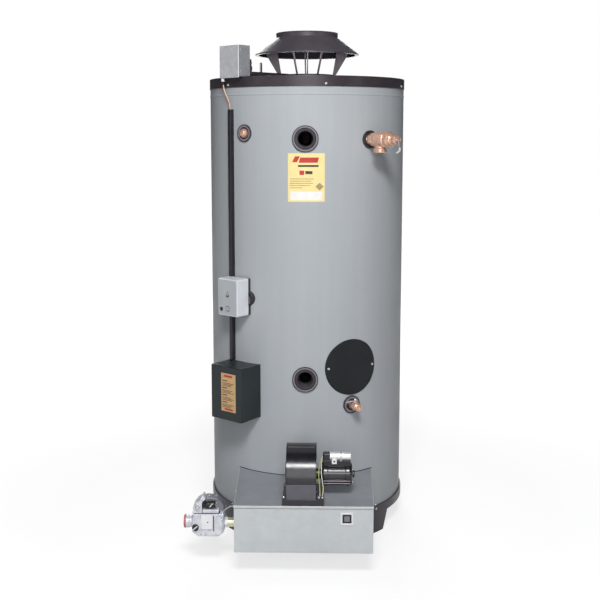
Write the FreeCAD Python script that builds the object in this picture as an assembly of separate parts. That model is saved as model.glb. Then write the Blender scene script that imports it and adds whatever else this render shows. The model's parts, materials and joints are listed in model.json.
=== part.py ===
"""Tank water heater with a blower-fed gas burner, a motorised flue damper and a draft hood.

Millimetres. The origin is on the tank's axis at the floor, +Z is up and -Y is the front.
An azimuth is measured from the front, positive towards +X.
"""

import FreeCAD, Part
import os
from math import cos, pi, radians, sin, sqrt, tan
from FreeCAD import Vector

# ---- driving dimensions ----
JACKET_R = 381.0
SHEET = 1.0
RING_Z = (76.0, 111.0)
RING_R = 388.0
RING_SHEET = 3.0
JACKET_TOP = 1740.0
BEAD_Z = 1684.0
LID_Z = (1711.0, 1750.0)
LID_R = 383.0

TANK_R = 305.0
TANK_WALL = 4.0
TANK_TOP = 1600.0
TOP_HEAD_EDGE = 1590.0
BOTTOM_HEAD_EDGE = 330.0
HEAD_RISE = 60.0
FLUE_R = 38.0
FLUE_WALL = 3.0
FLUE_CIRCLE_R = 190.0
FLUES_IN_CIRCLE = 8

COLLAR_R = 105.0
COLLAR_WALL = 3.0
COLLAR_TOP = 1771.0
HOOD_TOP = 1932.0
HOOD_SHEET = 1.5
HOOD_THROAT_R = 121.0
HOOD_THROAT_BOTTOM = 1914.0
HOOD_RIM_R = 204.0
HOOD_RIM_Z = 1846.0

SPUD_TIP = 384.0
SPUD_ROOT = 290.0
WATER_SPUD_R = 38.0
WATER_THREAD_R = 28.3
WATER_THREAD_LENGTH = 40.0
HOT_Z = 1524.0
COLD_Z = 637.0

RELIEF = {"azimuth": 38.0, "z": 1521.0}
DRAIN = {"azimuth": 27.0, "z": 533.0}
PLUG = {"azimuth": -36.0, "z": 1544.0}
WELL = {"azimuth": -36.0, "z": 922.0}
CLEANOUT = {"azimuth": 27.0, "z": 676.0}
CLEANOUT_R = 106.0
HANDHOLE_R = 60.0
HANDHOLE_FLANGE_R = 85.0

THERMOSTAT = {"azimuth": -40.0, "half_width": 51.5, "z": (868.0, 1008.0), "face": 450.0}
CONTROL = {"azimuth": -37.3, "half_width": 75.5, "z": (481.0, 686.0), "face": 485.0}
RACEWAY = {"azimuth": -45.8, "half_width": 10.0, "face": 400.0, "top": 1631.0}
DAMPER_BOX = {"azimuth": -44.0, "half_width": 52.5, "back": 348.0, "face": 405.0, "z": (1752.0, 1862.0)}
DAMPER_AXIS_Z = 1762.0
DAMPER_SHAFT_R = 4.0
DAMPER_BLADE_R = 99.0
RUNNING_GAP = 0.05

BOX_Z = (97.0, 266.5)
BOX_FRONT = -680.0
BOX_HALF_FRONT = 243.0
BOX_HALF_BACK = 254.0
BOX_SHEET = 1.5
BURNER_Z = 185.0
BURNER_R = 45.0
BURNER_PORT_R = 66.0

BLOWER_X = (-62.0, 44.0)
BLOWER_Y = -562.0
BLOWER_Z = 342.5
BLOWER_R = 108.0
VOLUTE_STEP = 12.0
FLANGE_THICKNESS = 4.0
WHEEL_R = 58.0
MOTOR_X = (61.0, 172.0)
MOTOR_R = 42.0

GAS_Y = -560.0
GAS_Z = 158.0
GAS_PIPE_R = 16.7
GAS_THREAD_R = 12.4


# ---- helpers ----
def block(x, y, z):
    """A box from three (low, high) pairs."""
    corner = Vector(min(x), min(y), min(z))
    return Part.makeBox(abs(x[1] - x[0]), abs(y[1] - y[0]), abs(z[1] - z[0]), corner)


def rod(radius, start, end):
    """A round bar between two points."""
    start, end = Vector(*start), Vector(*end)
    return Part.makeCylinder(radius, (end - start).Length, start, end - start)


def pipe(outer, inner, start, end):
    """A round tube between two points."""
    return rod(outer, start, end).cut(rod(inner, start, end))


def prism(points, offset):
    """A flat outline of 3-D points, extruded by an offset."""
    corners = [Vector(*p) for p in points]
    face = Part.Face(Part.makePolygon(corners + corners[:1]))
    return face.extrude(Vector(*offset))


def turned(profile):
    """A (radius, z) outline turned about the tank's axis."""
    corners = [Vector(r, 0, z) for r, z in profile]
    face = Part.Face(Part.makePolygon(corners + corners[:1]))
    return face.revolve(Vector(0, 0, 0), Vector(0, 0, 1), 360)


def around(shape, azimuth):
    """The shape, built facing the front, turned to an azimuth."""
    turned_shape = shape.copy()
    turned_shape.rotate(Vector(0, 0, 0), Vector(0, 0, 1), azimuth)
    return turned_shape


def outward(radius, start, end, z, x=0.0):
    """A round bar that points straight out at the front, between two distances from the axis."""
    return rod(radius, (x, -start, z), (x, -end, z))


def hexagon(across_flats, start, end, z):
    """A hexagonal bar that points straight out at the front."""
    circumradius = across_flats / 2 / cos(radians(30))
    corners = [
        (circumradius * cos(radians(60 * i)), -start, z + circumradius * sin(radians(60 * i)))
        for i in range(6)
    ]
    return prism(corners, (0, start - end, 0))


def fuse(*shapes):
    """All shapes joined into one solid, with the seams between their faces removed."""
    return shapes[0].multiFuse(list(shapes[1:])).removeSplitter()


def cut(shape, *tools):
    """The shape with every tool taken away."""
    for tool in tools:
        shape = shape.cut(tool)
    return shape


def at_port(shape, port):
    """The shape, built facing the front, turned to a port's azimuth."""
    return around(shape, port["azimuth"])


def rounded(shape, radius, keep):
    """The shape with those edges rounded that the test keeps."""
    return shape.makeFillet(radius, [edge for edge in shape.Edges if keep(edge)])


def direction(edge):
    """The unit vector along a straight edge, with no sign."""
    along = edge.Vertexes[-1].Point - edge.Vertexes[0].Point
    along.normalize()
    return Vector(abs(along.x), abs(along.y), abs(along.z))


def lead(points, radius):
    """A wire through hand-set points: straight runs joined by tangent arcs."""
    corners = [Vector(*p) for p in points]
    edges, last = [], corners[0]
    for before, corner, after in zip(corners, corners[1:], corners[2:]):
        back, on = (before - corner), (after - corner)
        half_turn = (pi - back.getAngle(on)) / 2
        reach = 0.45 * min(back.Length, on.Length)
        bend = reach / tan(half_turn)
        back.normalize()
        on.normalize()
        middle = back + on
        middle.normalize()
        depth = bend / cos(half_turn) - bend
        start, end = corner + back * reach, corner + on * reach
        edges.append(Part.LineSegment(last, start).toShape())
        edges.append(Part.Arc(start, corner + middle * depth, end).toShape())
        last = end
        print("bend radius %.1f mm" % bend)
    edges.append(Part.LineSegment(last, corners[-1]).toShape())
    path = Part.Wire(edges)
    section = Part.Wire(Part.makeCircle(radius, corners[0], corners[1] - corners[0]))
    sweep = Part.BRepOffsetAPI.MakePipeShell(path)
    sweep.add(section)
    sweep.build()
    sweep.makeSolid()
    solid = sweep.shape()
    swept = pi * radius**2 * path.Length
    print("lead volume over section times length: %.4f" % (solid.Volume / swept))
    return solid


# ---- shapes that several pieces are fitted to ----
JACKET_BODY = Part.makeCylinder(JACKET_R, JACKET_TOP)
RING_BODY = Part.makeCylinder(RING_R, RING_Z[1])
PORTS = (
    {"azimuth": 0.0, "z": HOT_Z, "spud_r": WATER_SPUD_R, "bore_r": WATER_THREAD_R, "trim_r": 48.0},
    {"azimuth": 0.0, "z": COLD_Z, "spud_r": WATER_SPUD_R, "bore_r": WATER_THREAD_R, "trim_r": 48.0},
    {**RELIEF, "spud_r": 22.0, "bore_r": 17.0, "trim_r": 33.0},
    {**DRAIN, "spud_r": 20.0, "bore_r": 13.0, "trim_r": 34.0},
    {**PLUG, "spud_r": 20.0, "bore_r": 13.0, "trim_r": 32.0},
    {**WELL, "spud_r": 16.0, "bore_r": 10.0, "trim_r": 30.0},
)


def port_holes(grow=0.0):
    """What every spud takes out of the walls that it passes through."""
    return [at_port(outward(p["spud_r"] + grow, 250, 400, p["z"]), p) for p in PORTS]


def flue_centres():
    """Where each flue stands: one on the axis and a circle of others, clear of the front."""
    places = [(0.0, 0.0)]
    for i in range(FLUES_IN_CIRCLE):
        angle = radians(360 / FLUES_IN_CIRCLE * (i + 0.5))
        places.append((FLUE_CIRCLE_R * sin(angle), -FLUE_CIRCLE_R * cos(angle)))
    return places


def cap(radius, edge_z, rise):
    """A solid spherical cap, domed upwards."""
    sphere_r = (radius**2 + rise**2) / (2 * rise)
    ball = Part.makeSphere(sphere_r, Vector(0, 0, edge_z + rise - sphere_r))
    return ball.common(Part.makeCylinder(radius, 2 * rise, Vector(0, 0, edge_z)))


# ---- base, jacket and lid ----
def base_ring():
    """The shallow pan that the jacket stands in."""
    low, top = RING_Z
    return turned([
        (250, low), (RING_R, low), (RING_R, top), (RING_R - RING_SHEET, top),
        (RING_R - RING_SHEET, low + RING_SHEET), (250, low + RING_SHEET),
    ])


LEG_AZIMUTHS = (45.0, 135.0, 225.0, 315.0)
ANCHOR_CIRCLE_R = 342.0
ANCHOR_HOLE_R = 7.0


def legs():
    """Four curved, tapered plates under the ring, each with an inturned foot that has an anchor hole."""
    top, plate_r, plate, foot = RING_Z[0], 384.0, 4.0, 4.0
    band = Part.makeCylinder(plate_r, top).cut(Part.makeCylinder(plate_r - plate, top))
    outline = prism([(-80, -450, top), (-48, -450, 0), (48, -450, 0), (80, -450, top)], (0, 200, 0))
    sole = block((-40, 40), (-plate_r, -308), (0, foot)).common(Part.makeCylinder(plate_r, foot))
    hole = rod(ANCHOR_HOLE_R, (0, -ANCHOR_CIRCLE_R, -1), (0, -ANCHOR_CIRCLE_R, foot + 1))
    leg = fuse(band.common(outline), sole).cut(hole)
    return [around(leg, azimuth) for azimuth in LEG_AZIMUTHS]


def jacket():
    """The painted outer shell, with a rolled bead below the lid and its cut-outs."""
    r, inner, low = JACKET_R, JACKET_R - SHEET, RING_Z[0] + RING_SHEET
    shell = turned([
        (inner, low), (r, low), (r, BEAD_Z - 4), (r + 1.4, BEAD_Z - 1.5), (r + 1.4, BEAD_Z + 1.5),
        (r, BEAD_Z + 4), (r, JACKET_TOP), (inner, JACKET_TOP),
    ])
    cleanout = at_port(outward(98, 300, 400, CLEANOUT["z"]), CLEANOUT)
    burner = outward(BURNER_PORT_R, 300, 400, BURNER_Z)
    return cut(shell, cleanout, burner, *port_holes())


def jacket_lid():
    """The black pan over the jacket's top, open in the middle for the flue collar."""
    low, top = LID_Z
    inner = JACKET_R + 0.3
    hole = COLLAR_R + 0.3
    return turned([
        (hole, top), (LID_R - 1.2, top), (LID_R, top - 1.2), (LID_R, low), (inner, low),
        (inner, top - 1.5), (hole, top - 1.5),
    ])


def screw(z, seat):
    """A pan-head screw that points inwards, its head on a surface at the distance called seat."""
    head = Part.makeCone(5.0, 3.6, 2.6, Vector(0, -seat, z), Vector(0, -1, 0))
    return fuse(head, outward(2.0, seat - 8, seat, z))


def jacket_screws():
    """The sheet-metal screws in the lid's rim, the base ring and the cleanout cover."""
    lid = [around(screw(1721, LID_R), 11.2 + 60 * i) for i in range(6)]
    base = [around(screw(98, RING_R), azimuth) for azimuth in LEG_AZIMUTHS]
    cover = [around(screw(CLEANOUT["z"], JACKET_R + 3.6), CLEANOUT["azimuth"] + side * 13.9) for side in (-1, 1)]
    return lid + base + cover


def screw_holes(start, end):
    """The shanks' clearance in whatever the jacket screws pass through."""
    places = [(1721, 11.2 + 60 * i) for i in range(6)]
    places += [(98, azimuth) for azimuth in LEG_AZIMUTHS]
    places += [(CLEANOUT["z"], CLEANOUT["azimuth"] + side * 13.9) for side in (-1, 1)]
    return [around(outward(2.0, start, end, z), azimuth) for z, azimuth in places]


# ---- insulation, tank and flues ----
def insulation():
    """The blanket round the tank and the ceramic liner of the combustion chamber."""
    low = RING_Z[0] + RING_SHEET
    blanket = turned([(TANK_R, low), (JACKET_R - SHEET, low), (JACKET_R - SHEET, JACKET_TOP), (TANK_R, JACKET_TOP)])
    cleanout = at_port(outward(98, 280, 400, CLEANOUT["z"]), CLEANOUT)
    burner = outward(BURNER_PORT_R, 200, 400, BURNER_Z)
    inner = TANK_R - TANK_WALL
    liner = turned([(0, 90), (inner, 90), (inner, 310), (inner - 25, 310), (inner - 25, 108), (0, 108)])
    return [cut(blanket, cleanout, burner, *port_holes(), *screw_holes(350, 380)), liner.cut(burner)]


def tank_shell():
    """The tank's wall, carried down as the skirt that encloses the combustion chamber."""
    low = RING_Z[0] + RING_SHEET
    shell = turned([(TANK_R, low), (TANK_R, TANK_TOP), (TANK_R - TANK_WALL, TANK_TOP), (TANK_R - TANK_WALL, low)])
    handhole = at_port(outward(HANDHOLE_FLANGE_R, 250, 330, CLEANOUT["z"]), CLEANOUT)
    return cut(shell, handhole, outward(BURNER_PORT_R, 250, 330, BURNER_Z), *port_holes())


ANODE_CIRCLE_R = 282.0
ANODE_R = 9.0


def tank_heads():
    """The domed top and bottom heads, pierced by the flues."""
    radius = TANK_R - TANK_WALL
    heads = []
    for edge in (TOP_HEAD_EDGE, BOTTOM_HEAD_EDGE):
        head = cap(radius, edge, HEAD_RISE).cut(cap(radius, edge - TANK_WALL, HEAD_RISE))
        flues = [rod(FLUE_R, (x, y, edge - 20), (x, y, edge + 90)) for x, y in flue_centres()]
        heads.append(cut(head, *flues))
    anodes = [rod(ANODE_R, (x, 0, 1500), (x, 0, 1700)) for x in (-ANODE_CIRCLE_R, ANODE_CIRCLE_R)]
    heads[0] = cut(heads[0], *anodes)
    return heads


def flue_ends(x, y):
    """Where a flue at a place starts and ends: just past each head."""
    return (378.0, 1655.0) if (x, y) == (0.0, 0.0) else (346.0, 1642.0)


def flue_tubes():
    """The tubes that carry the hot gas up through the water."""
    return [
        pipe(FLUE_R, FLUE_R - FLUE_WALL, (x, y, flue_ends(x, y)[0]), (x, y, flue_ends(x, y)[1]))
        for x, y in flue_centres()
    ]


def flue_baffles():
    """A folded strip in each flue, hung from a cross bar on the flue's upper edge."""
    strips = []
    for x, y in flue_centres():
        top = flue_ends(x, y)[1]
        zigzag = [(x - 24 if i % 2 else x + 24, y, top - 60 * i) for i in range(1, 18)]
        wide = [Vector(px, y - 14, pz) for px, _, pz in zigzag]
        back = [Vector(px + 2.5, y - 14, pz) for px, _, pz in reversed(zigzag)]
        strip = Part.Face(Part.makePolygon(wide + back + wide[:1])).extrude(Vector(0, 28, 0))
        hook = block((x - 2, x + 2), (y - 14, y + 14), (top - 75, top))
        bar = block((x - 36, x + 36), (y - 5, y + 5), (top, top + 2))
        strips.append(fuse(strip, hook, bar))
    return strips


def flue_collector():
    """The hood on the tank's top head that gathers the flue gas, and the collar that carries it out of the lid."""
    cone = turned([(264, 1600), (264, 1655), (COLLAR_R, 1712), (COLLAR_R, 1709), (262, 1652), (262, 1600)])
    head = cap(TANK_R - TANK_WALL, TOP_HEAD_EDGE, HEAD_RISE)
    inner = COLLAR_R - COLLAR_WALL
    collar = turned([
        (inner, 1706), (COLLAR_R, 1706), (COLLAR_R, LID_Z[1]), (COLLAR_R + 8, LID_Z[1]),
        (COLLAR_R + 8, LID_Z[1] + 3), (COLLAR_R, LID_Z[1] + 6), (COLLAR_R, COLLAR_TOP), (inner, COLLAR_TOP),
    ])
    shaft = outward(DAMPER_SHAFT_R + RUNNING_GAP, -120, 120, DAMPER_AXIS_Z)
    return [fuse(cone.cut(head), collar).cut(around(shaft, DAMPER_BOX["azimuth"]))]


def anode_rods():
    """Two magnesium rods that hang from hexagonal plugs in the top head."""
    rods = []
    for x in (-ANODE_CIRCLE_R, ANODE_CIRCLE_R):
        plug = prism([(x + 10 * cos(radians(60 * i)), 10 * sin(radians(60 * i)), 1605) for i in range(6)], (0, 0, 14))
        rods.append(fuse(rod(ANODE_R, (x, 0, 700), (x, 0, 1610)), plug))
    return rods


# ---- water connections ----
def tank_spuds():
    """The threaded sockets welded into the tank's wall, reaching out through the jacket."""
    spuds = []
    for port in PORTS:
        z, deep = port["z"], SPUD_TIP - WATER_THREAD_LENGTH
        solid = outward(port["spud_r"], SPUD_ROOT, SPUD_TIP, z)
        thread = outward(port["bore_r"], deep, SPUD_TIP, z)
        passage = outward(port["bore_r"] - 2, SPUD_ROOT, deep, z)
        spuds.append(at_port(cut(solid, thread, passage), port))
    return spuds


def cold_inlet_tube():
    """The plastic tube that lets cold water in low down, between two flues."""
    passage = WATER_THREAD_R - 2
    tube = outward(passage, 165, 343, COLD_Z).cut(outward(passage - 3, 170, 343, COLD_Z))
    slot = block((-8, 8), (-235, -180), (COLD_Z - 40, COLD_Z - 10))
    return [tube.cut(slot)]


def port_trim_rings():
    """The black rings that close the gap between each spud and the jacket."""
    rings = []
    for port in PORTS:
        z, face = port["z"], SPUD_TIP + 3
        ring = outward(port["trim_r"], 365, face, z).cut(outward(port["spud_r"], 365, face, z))
        lip = outward(port["trim_r"] - 5, face - 1.5, face, z).cut(outward(port["spud_r"], face - 1.5, face, z))
        rings.append(at_port(cut(ring, lip, JACKET_BODY), port))
    return rings


def port_plug():
    """The brass plug in the spare tapping."""
    shank = outward(13.0, 348, SPUD_TIP, PLUG["z"])
    head = hexagon(30, SPUD_TIP, SPUD_TIP + 9, PLUG["z"])
    nose = Part.makeCone(12, 9, 5, Vector(0, -SPUD_TIP - 9, PLUG["z"]), Vector(0, -1, 0))
    return [at_port(fuse(shank, head, nose), PLUG)]


# ---- relief valve ----
RELIEF_OUT = 448.0
RELIEF_OUTLET_Z = 1473.0
RELIEF_OUTLET_R = 12.4
RELIEF_THREAD_LENGTH = 20.0
RELIEF_PIN = 538.0
RELIEF_PIN_R = 2.5
RELIEF_STEM_R = 3.0


def relief_valve_body():
    """The brass body: inlet shank with its probe, hexagon, barrel and an outlet that points down."""
    z = RELIEF["z"]
    shank = outward(17.0, 348, 392, z)
    nut = hexagon(44, 390, 404, z)
    barrel = outward(24.0, 404, 492, z)
    collar = outward(27.0, 484, 498, z)
    outlet = rod(19.0, (0, -RELIEF_OUT, RELIEF_OUTLET_Z), (0, -RELIEF_OUT, z))
    rim = rod(21.5, (0, -RELIEF_OUT, RELIEF_OUTLET_Z), (0, -RELIEF_OUT, RELIEF_OUTLET_Z + 12))
    probe = outward(5.0, 238, 350, z)
    solid = fuse(shank, nut, barrel, collar, outlet, rim, probe)
    inlet = [outward(2.2, 345, 409, z, x) for x in (-9, 9)]
    chamber = outward(16.0, 408, 498, z)
    thread_top = RELIEF_OUTLET_Z + RELIEF_THREAD_LENGTH
    thread = rod(RELIEF_OUTLET_R, (0, -RELIEF_OUT, RELIEF_OUTLET_Z), (0, -RELIEF_OUT, thread_top))
    way_out = rod(10.0, (0, -RELIEF_OUT, RELIEF_OUTLET_Z), (0, -RELIEF_OUT, z))
    return [at_port(cut(solid, chamber, thread, way_out, *inlet), RELIEF)]


def relief_valve_bonnet():
    """The cap over the valve's spring, with two ears that carry the test lever's pin."""
    z = RELIEF["z"]
    cap_solid = fuse(outward(22.0, 498, 506, z), outward(17.0, 506, 530, z))
    ears = [block(x, (-545, -528), (z - 7, z + 7)) for x in ((-8.4, -4.4), (4.4, 8.4))]
    solid = fuse(cap_solid, *ears)
    chamber = outward(13.0, 498, 522, z)
    bore = outward(RELIEF_STEM_R + RUNNING_GAP, 520, 531, z)
    hole = rod(RELIEF_PIN_R + RUNNING_GAP, (-10, -RELIEF_PIN, z), (10, -RELIEF_PIN, z))
    return [at_port(cut(solid, chamber, bore, hole), RELIEF)]


def relief_stem():
    """The stem and disc that the test lever lifts off the seat."""
    z = RELIEF["z"]
    return [at_port(fuse(outward(13.0, 408.4, 413, z), outward(RELIEF_STEM_R, 413, 528, z)), RELIEF)]


def relief_lever():
    """The test lever, hanging from its pin between the bonnet's ears."""
    z = RELIEF["z"]
    head = rod(4.6, (-4, -RELIEF_PIN, z), (4, -RELIEF_PIN, z))
    pin = rod(RELIEF_PIN_R, (-9.5, -RELIEF_PIN, z), (9.5, -RELIEF_PIN, z))
    arm = prism([(-4, -541, z), (-4, -546, z - 46), (-4, -543, z - 46), (-4, -538, z)], (8, 0, 0))
    paddle = prism([(-8, -544.3, z - 30), (-8, -546.2, z - 48), (-8, -543, z - 48), (-8, -541.3, z - 30)], (16, 0, 0))
    return [at_port(fuse(head, pin, arm, paddle), RELIEF)]


# ---- drain valve ----
DRAIN_STEM = 411.0
DRAIN_BALL_R = 11.0
DRAIN_THREAD_R = 13.3


def drain_valve_body():
    """The brass ball valve that drains the tank, with a hose thread at its outer end."""
    z = DRAIN["z"]
    barrel = fuse(
        outward(13.0, 348, 388, z), hexagon(30, 386, 396, z), outward(15.5, 396, 426, z),
        outward(DRAIN_THREAD_R, 426, 440, z), rod(8.0, (0, -DRAIN_STEM, z), (0, -DRAIN_STEM, z + 20)),
    )
    ball = Part.makeSphere(DRAIN_BALL_R + RUNNING_GAP, Vector(0, -DRAIN_STEM, z))
    stem = rod(3.5 + RUNNING_GAP, (0, -DRAIN_STEM, z), (0, -DRAIN_STEM, z + 21))
    waterways = [outward(8.0, 347, DRAIN_STEM, z), outward(8.0, DRAIN_STEM, 441, z)]
    return [at_port(cut(barrel, ball, stem, *waterways), DRAIN)]


def drain_handle():
    """The lever, stem and bored ball of the drain valve, turned across the flow."""
    z = DRAIN["z"]
    ball = Part.makeSphere(DRAIN_BALL_R, Vector(0, -DRAIN_STEM, z))
    ball = ball.cut(rod(7.0, (-20, -DRAIN_STEM, z), (20, -DRAIN_STEM, z)))
    stem = rod(3.5, (0, -DRAIN_STEM, z + 8), (0, -DRAIN_STEM, z + 28))
    strap = block((-32, 7), (-DRAIN_STEM - 5, -DRAIN_STEM + 5), (z + 20.4, z + 23))
    strap = rounded(strap, 4.5, lambda edge: direction(edge).z > 0.9)
    tip = prism([(-27, -DRAIN_STEM - 5, z + 20.4), (-27, -DRAIN_STEM - 5, z + 23),
                 (-39, -DRAIN_STEM - 5, z + 17), (-38, -DRAIN_STEM - 5, z + 15)], (0, 10, 0))
    return [at_port(fuse(ball, stem, strap, tip), DRAIN)]


# ---- cleanout ----
def cleanout_cover():
    """The round cover, rolled to the jacket's curve."""
    disc = outward(CLEANOUT_R, 330, 400, CLEANOUT["z"])
    skin = Part.makeCylinder(JACKET_R + 3.6, 400, Vector(0, 0, 500)).cut(JACKET_BODY)
    return [cut(at_port(disc, CLEANOUT).common(skin), *screw_holes(370, 395))]


def handhole_flange():
    """The steel ring welded into the tank wall round the handhole."""
    z = CLEANOUT["z"]
    return [at_port(outward(HANDHOLE_FLANGE_R, 286, 318, z).cut(outward(HANDHOLE_R, 286, 318, z)), CLEANOUT)]


def handhole_plate():
    """The bolted plate that closes the handhole, with its gasket face and six bolts."""
    z = CLEANOUT["z"]
    plate = outward(HANDHOLE_FLANGE_R, 320, 329, z)
    gasket = outward(HANDHOLE_FLANGE_R - 2, 318, 320, z).cut(outward(HANDHOLE_R, 318, 320, z))
    bolts = []
    for i in range(6):
        x, dz = 73 * cos(radians(60 * i)), 73 * sin(radians(60 * i))
        bolts.append(outward(5.0, 329, 335, z + dz, x))
    return [at_port(shape, CLEANOUT) for shape in (plate, gasket, *bolts)]


# ---- wiring and controls on the jacket ----
def side_box(housing, low, high, inset=0.0):
    """A solid on the jacket, from one distance off the axis to another, to a housing's width and height."""
    half = housing["half_width"] - inset
    z = (housing["z"][0] + inset, housing["z"][1] - inset)
    return block((-half, half), (-high, -low), z)


def wire_raceway():
    """The black channel that carries the wires down the jacket, from the lid to the controls."""
    half, face = RACEWAY["half_width"], RACEWAY["face"]
    runs = []
    for low, high in ((CONTROL["z"][1], THERMOSTAT["z"][0]), (THERMOSTAT["z"][1], RACEWAY["top"])):
        outer = rounded(block((-half, half), (-face, -370), (low, high)), 3.0,
                        lambda edge: direction(edge).z > 0.9 and edge.CenterOfMass.y < -390)
        inner = block((-half + 2, half - 2), (-face + 2, -360), (low - 1, high + 1))
        runs.append(around(cut(outer, inner, JACKET_BODY), RACEWAY["azimuth"]))
    return runs


def thermostat_base():
    """The plate that holds the thermostat to the jacket."""
    plate = side_box(THERMOSTAT, 366, 394, 2.2)
    hollow = side_box(THERMOSTAT, 360, 390, 5)
    port = around(outward(31, 350, 396, WELL["z"]), WELL["azimuth"] - THERMOSTAT["azimuth"])
    race = around(block((-11, 11), (-402, -350), (800, 1100)), RACEWAY["azimuth"] - THERMOSTAT["azimuth"])
    return [around(cut(plate, hollow, JACKET_BODY, port, race), THERMOSTAT["azimuth"])]


RESET_X = -32.0
RESET_Z = 892.0
RESET_R = 4.5
RESET_TRAVEL = 3.0


def thermostat_cover():
    """The pale cover, open at the back, with a hole for the reset button."""
    face = THERMOSTAT["face"]
    outer = rounded(side_box(THERMOSTAT, 392, face), 5.0,
                    lambda edge: edge.CenterOfMass.y < -face + 0.1 or direction(edge).y > 0.9)
    inner = side_box(THERMOSTAT, 380, face - 2, 2)
    hole = outward(RESET_R + 0.1, face - 5, face + 1, RESET_Z, RESET_X)
    return [around(cut(outer, inner, hole), THERMOSTAT["azimuth"])]


def reset_button():
    """The push button of the high-limit switch, with the flange that keeps it behind the cover."""
    face = THERMOSTAT["face"]
    stem = outward(RESET_R, face - 12, face + RESET_TRAVEL, RESET_Z, RESET_X)
    flange = outward(RESET_R + 2, face - 7, face - 4, RESET_Z, RESET_X)
    return [around(fuse(stem, flange), THERMOSTAT["azimuth"])]


def thermostat_body():
    """The control behind the cover, and the well that its probe goes into."""
    z, turn = WELL["z"], WELL["azimuth"] - THERMOSTAT["azimuth"]
    control = block((-40, 40), (-430, -399), (905, 985))
    well = fuse(outward(8.0, 242, 345, z), outward(10.0, 345, 384, z), hexagon(22, 384, 397, z))
    return [around(control, THERMOSTAT["azimuth"]), around(well, THERMOSTAT["azimuth"] + turn)]


CONTROL_SEAM = 448.0


def control_box_body():
    """The back half of the control housing, shaped to the jacket."""
    outer = side_box(CONTROL, 366, CONTROL_SEAM + 20, 1.8)
    inner = side_box(CONTROL, 360, CONTROL_SEAM + 30, 3.3)
    race = around(block((-11, 11), (-402, -350), (670, 700)), RACEWAY["azimuth"] - CONTROL["azimuth"])
    return [around(cut(outer, inner, JACKET_BODY, race), CONTROL["azimuth"])]


def control_box_cover():
    """The front cover, which laps over the body and has a finger notch in its upper edge."""
    face = CONTROL["face"]
    outer = rounded(side_box(CONTROL, CONTROL_SEAM, face), 3.0,
                    lambda edge: edge.CenterOfMass.y < -face + 0.1 or direction(edge).y > 0.9)
    inner = side_box(CONTROL, CONTROL_SEAM - 1, face - 1.5, 1.8)
    notch = block((-62, -38), (-CONTROL_SEAM - 8, -CONTROL_SEAM + 1), (CONTROL["z"][1] - 3, CONTROL["z"][1] + 1))
    return [around(cut(outer, inner, notch), CONTROL["azimuth"])]


def control_modules():
    """The ignition control and the transformer inside the control housing."""
    azimuth = CONTROL["azimuth"]
    board = block((-60, 12), (-430, -398), (510, 620))
    core = block((24, 60), (-436, -398), (520, 575))
    windings = block((30, 54), (-444, -390), (530, 565))
    return [around(board, azimuth), around(fuse(core, windings), azimuth)]


# ---- flue damper ----
def damper_box_base():
    """The damper housing's back plate and floor, which stands on the lid."""
    half, back, face = DAMPER_BOX["half_width"] - 1.5, DAMPER_BOX["back"], DAMPER_BOX["face"]
    low, high = DAMPER_BOX["z"]
    plate = block((-half, half), (-back - 2, -back), (LID_Z[1], high - 2))
    floor = block((-half, half), (-face + 4, -back), (LID_Z[1], low))
    hole = outward(DAMPER_SHAFT_R + RUNNING_GAP, back - 5, back + 5, DAMPER_AXIS_Z)
    return [around(fuse(plate, floor).cut(hole), DAMPER_BOX["azimuth"])]


def damper_box_cover():
    """The galvanised cover, with a front lip that hangs past the lid's edge."""
    half, back, face = DAMPER_BOX["half_width"], DAMPER_BOX["back"], DAMPER_BOX["face"]
    low, high = DAMPER_BOX["z"]
    outer = block((-half, half), (-face, -back), (low, high))
    inner = block((-half + 1.5, half - 1.5), (-face + 1.5, -back + 1), (low - 1, high - 1.5))
    lip = block((-half, half), (-face, -face + 1.5), (low - 7, low))
    return [around(fuse(outer.cut(inner), lip), DAMPER_BOX["azimuth"])]


def damper_motor():
    """The geared motor that turns the damper's shaft."""
    motor = block((-30, 30), (-396, -354), (1756, 1828))
    return [around(motor, DAMPER_BOX["azimuth"])]


def damper_bracket():
    """The black angle that ties the damper housing to the collar, beside the shaft."""
    back, azimuth = DAMPER_BOX["back"], DAMPER_BOX["azimuth"]
    bar = block((-9, -5), (-back + 3, -95), (1756, 1773))
    upright = prism([(-9, -back, 1756), (22, -back, 1756), (16, -back, 1786), (12, -back, 1830), (-9, -back, 1830)],
                    (0, 3, 0))
    shaft = outward(DAMPER_SHAFT_R + 0.6, 330, 360, DAMPER_AXIS_Z)
    gusset = prism([(-9, -back + 3, 1773), (-9, -back + 3, 1795), (-9, -back + 20, 1773)], (4, 0, 0))
    collar = Part.makeCylinder(COLLAR_R, 100, Vector(0, 0, 1700))
    return [around(cut(fuse(bar, upright, gusset), shaft, collar), azimuth)]


def damper_blade():
    """The round blade on its shaft, with the pin that shows its position."""
    azimuth, z = DAMPER_BOX["azimuth"], DAMPER_AXIS_Z
    disc = rod(DAMPER_BLADE_R, (0, 0, z - 1), (0, 0, z + 1))
    shaft = outward(DAMPER_SHAFT_R, -COLLAR_R, DAMPER_BOX["back"] + 4, z)
    pin = fuse(rod(3.2, (0, -246, z), (0, -246, 1804)), Part.makeSphere(4.2, Vector(0, -246, 1803)))
    return [around(fuse(disc, shaft, pin), azimuth)]


LEAD_R = 1.5
FITTING_R = 399.0
FITTING_AZIMUTH = -50.4


def place(radius, azimuth):
    """The X and Y of a distance off the axis at an azimuth."""
    return radius * sin(radians(azimuth)), -radius * cos(radians(azimuth))


def conduit_fitting():
    """The bushing under the damper housing that its leads come out of."""
    x, y = place(FITTING_R, FITTING_AZIMUTH)
    nut = pipe(6.8, 4.2, (x, y, 1733), (x, y, LID_Z[1]))
    bush = pipe(5.8, 4.2, (x, y, 1722), (x, y, 1733))
    return [nut, bush]


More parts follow.
